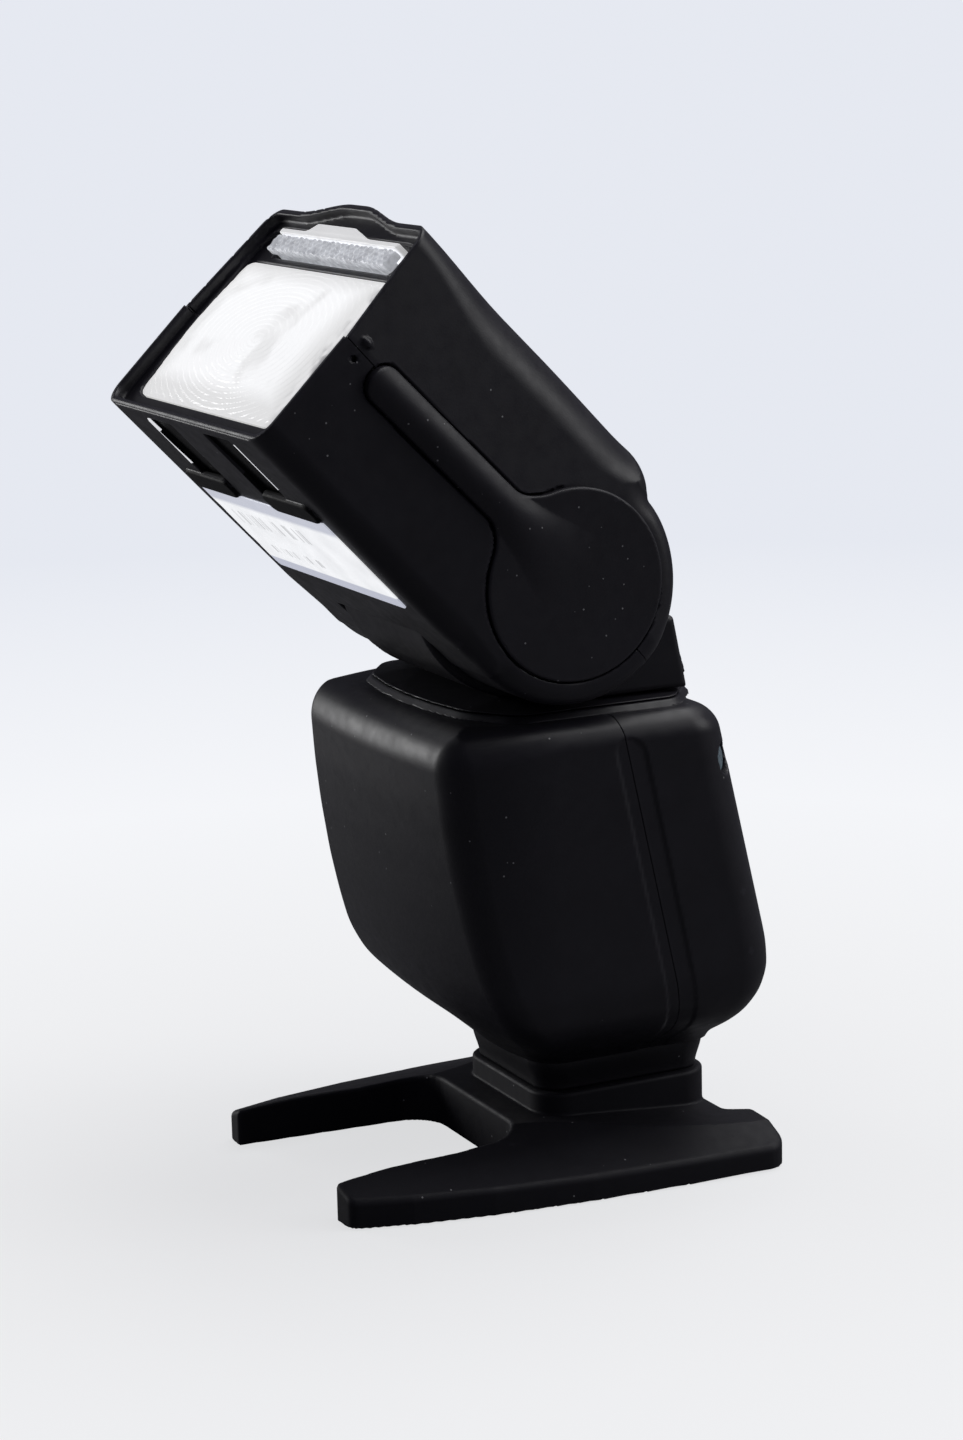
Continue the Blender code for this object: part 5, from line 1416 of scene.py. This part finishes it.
def stand_field(x, y, z):
    """The stand: a plate whose deck falls to its edges, forked, with the shoe's block on it."""
    outline = outline_field(x, y, STAND_OUTLINE)
    outer = np.interp(y, *zip(*STAND_EDGE))
    rim = np.interp(y, *zip(*RIM_HEIGHT))
    slope = np.interp(y, *zip(*DECK_SLOPE))
    slant = rim + slope * (outer - np.abs(x))
    flat = DECK_FRONT + (DECK_BACK - DECK_FRONT) * smooth(y, -5.0, 43.0)
    deck = merged(slant, flat + 0 * x, 2.5)
    plate = overlap(overlap(outline, (z - deck) * 0.94, 1.0), -z, 0.25)
    plate = carved(plate, outline_field(x, y, ROOT_OUTLINE), 0.8)
    block = overlap(rounded_rect(x, y - SHOE_Y, *BLOCK_HALF, 6.5), z - BLOCK_TOP, 0.6)
    body = merged(plate, np.maximum(block, BLOCK_BOTTOM - z), 0.4)
    for cut in STAND_CUTS:
        body = carved(body, rear_cut(x, y, z, *cut), 0.2)
    socket = np.maximum(np.hypot(x, y - SOCKET_Y) - SOCKET_RADIUS, z - SOCKET_TOP)
    return carved(body, socket, 0.2)


def make_foot_and_stand():
    shell("foot", "foot_housing", "flash_body", "foot_black", foot_field,
          *around("foot_housing", (1, 1, 1), (1, 1, 2.4)), 0.4, WORLD)
    shell("stand_base", "mini_stand", "stand", "stand_black", stand_field,
          *around("mini_stand", (1, 1, 1), (1, 1, 1)), 0.5, WORLD)


# ------------------------------------------------------------------ studio
CAMERA_AT = (0.57438, -0.28109, 0.22365)
CAMERA_YAW = math.radians(64.06)
CAMERA_PITCH = math.radians(12.15)
CAMERA_ROLL = math.radians(-1.32)
CAMERA_LENS = 84.64


def make_camera():
    """The camera that was matched to the photo."""
    data = bpy.data.cameras.new("camera")
    data.sensor_fit = "VERTICAL"
    data.sensor_height = 36.0
    data.lens = CAMERA_LENS
    data.clip_start = 0.01
    data.clip_end = 10.0
    back = Vector((math.sin(CAMERA_YAW) * math.cos(CAMERA_PITCH),
                   -math.cos(CAMERA_YAW) * math.cos(CAMERA_PITCH), math.sin(CAMERA_PITCH)))
    right = Vector((math.cos(CAMERA_YAW), math.sin(CAMERA_YAW), 0.0))
    up = back.cross(right)
    turned_right = right * math.cos(CAMERA_ROLL) + up * math.sin(CAMERA_ROLL)
    turned_up = up * math.cos(CAMERA_ROLL) - right * math.sin(CAMERA_ROLL)
    place = Matrix((turned_right, turned_up, back)).transposed().to_4x4()
    place.translation = Vector(CAMERA_AT)
    camera = bpy.data.objects.new("camera", data)
    camera.matrix_world = place
    bpy.context.scene.collection.objects.link(camera)
    bpy.context.scene.camera = camera


def softbox(name, at, towards, width, height, power):
    data = bpy.data.lights.new(name, "AREA")
    data.shape = "RECTANGLE"
    data.size = width
    data.size_y = height
    data.energy = power
    lamp = bpy.data.objects.new(name, data)
    lamp.location = at
    lamp.rotation_euler = (Vector(towards) - Vector(at)).to_track_quat("-Z", "Y").to_euler()
    bpy.context.scene.collection.objects.link(lamp)


BACKDROP = (0.790, 0.815, 0.880)
FLOOR_GLOW = (0.955, 0.960, 0.975)
DIM_LIGHT = (0.072, 0.072, 0.088)
FLOOR_RADIUS = 3.0
FLOOR_DROP = -0.0002
# Each light is (place, aim, width, height, watts)
LIGHTS = {
    "top_light": ((-0.05, 0.40, 1.00), (0, 0, 0.10), 0.9, 0.8, 6.0),
    "left_light": ((-0.90, -0.60, 0.20), (0, 0, 0.05), 0.5, 0.5, 4.0),
    "back_light": ((0.45, 0.85, 0.60), (0, 0, 0.12), 0.5, 0.5, 2.6),
}


def make_world():
    """Pale to the camera, dim to everything the light falls on."""
    world = bpy.data.worlds.new("studio")
    bpy.context.scene.world = world
    world.use_nodes = True
    tree = world.node_tree
    background = tree.nodes["Background"]
    path = node(tree, "ShaderNodeLightPath")
    seen = mixed(tree, path.outputs["Is Camera Ray"], DIM_LIGHT, BACKDROP)
    plug(tree, background, Color=seen, Strength=1.0)


def make_floor():
    """A pale table with a painted pool of light: it glows brightest round the object and fades into the backdrop,
    and reflects little light up.
    """
    bpy.ops.mesh.primitive_circle_add(vertices=96, radius=FLOOR_RADIUS, fill_type="NGON",
                                      location=(0, 0, FLOOR_DROP))
    floor = bpy.context.object
    floor.name = "floor"
    made, tree, shader = paint("floor_white")
    path = node(tree, "ShaderNodeLightPath")
    albedo = mixed(tree, path.outputs["Is Camera Ray"], (0.16, 0.16, 0.17), (0.80, 0.81, 0.83))
    plug(tree, shader, Base_Color=albedo, Roughness=0.8, Specular_IOR_Level=0.1)
    glow = node(tree, "ShaderNodeEmission")
    away = node(tree, "ShaderNodeVectorMath", operation="LENGTH")
    plug(tree, away, Vector=spot(tree))
    # Painted pool of light: the glow is brightest near the object and fades outwards.
    far = ranged(tree, away.outputs["Value"], 0.12, 0.75, 0.0, 1.0)
    plug(tree, glow, Color=mixed(tree, far, FLOOR_GLOW, BACKDROP))
    share = ranged(tree, away.outputs["Value"], 0.06, 0.30, 0.72, 1.0)
    share = calc(tree, "MULTIPLY", share, path.outputs["Is Camera Ray"])
    blend = plug(tree, node(tree, "ShaderNodeMixShader"), Fac=share)
    tree.links.new(shader.outputs["BSDF"], blend.inputs[1])
    tree.links.new(glow.outputs["Emission"], blend.inputs[2])
    tree.links.new(blend.outputs["Shader"], tree.nodes["Material Output"].inputs["Surface"])
    floor.data.materials.append(made)


def make_studio():
    make_world()
    make_floor()
    for name, values in LIGHTS.items():
        softbox(name, *values)
    bpy.context.scene.view_settings.view_transform = "Standard"


make_head()
make_head_front()
make_turret()
make_body()
make_controls()
make_lever()
make_foot_and_stand()
finish_kept_nodes()
make_camera()
make_studio()
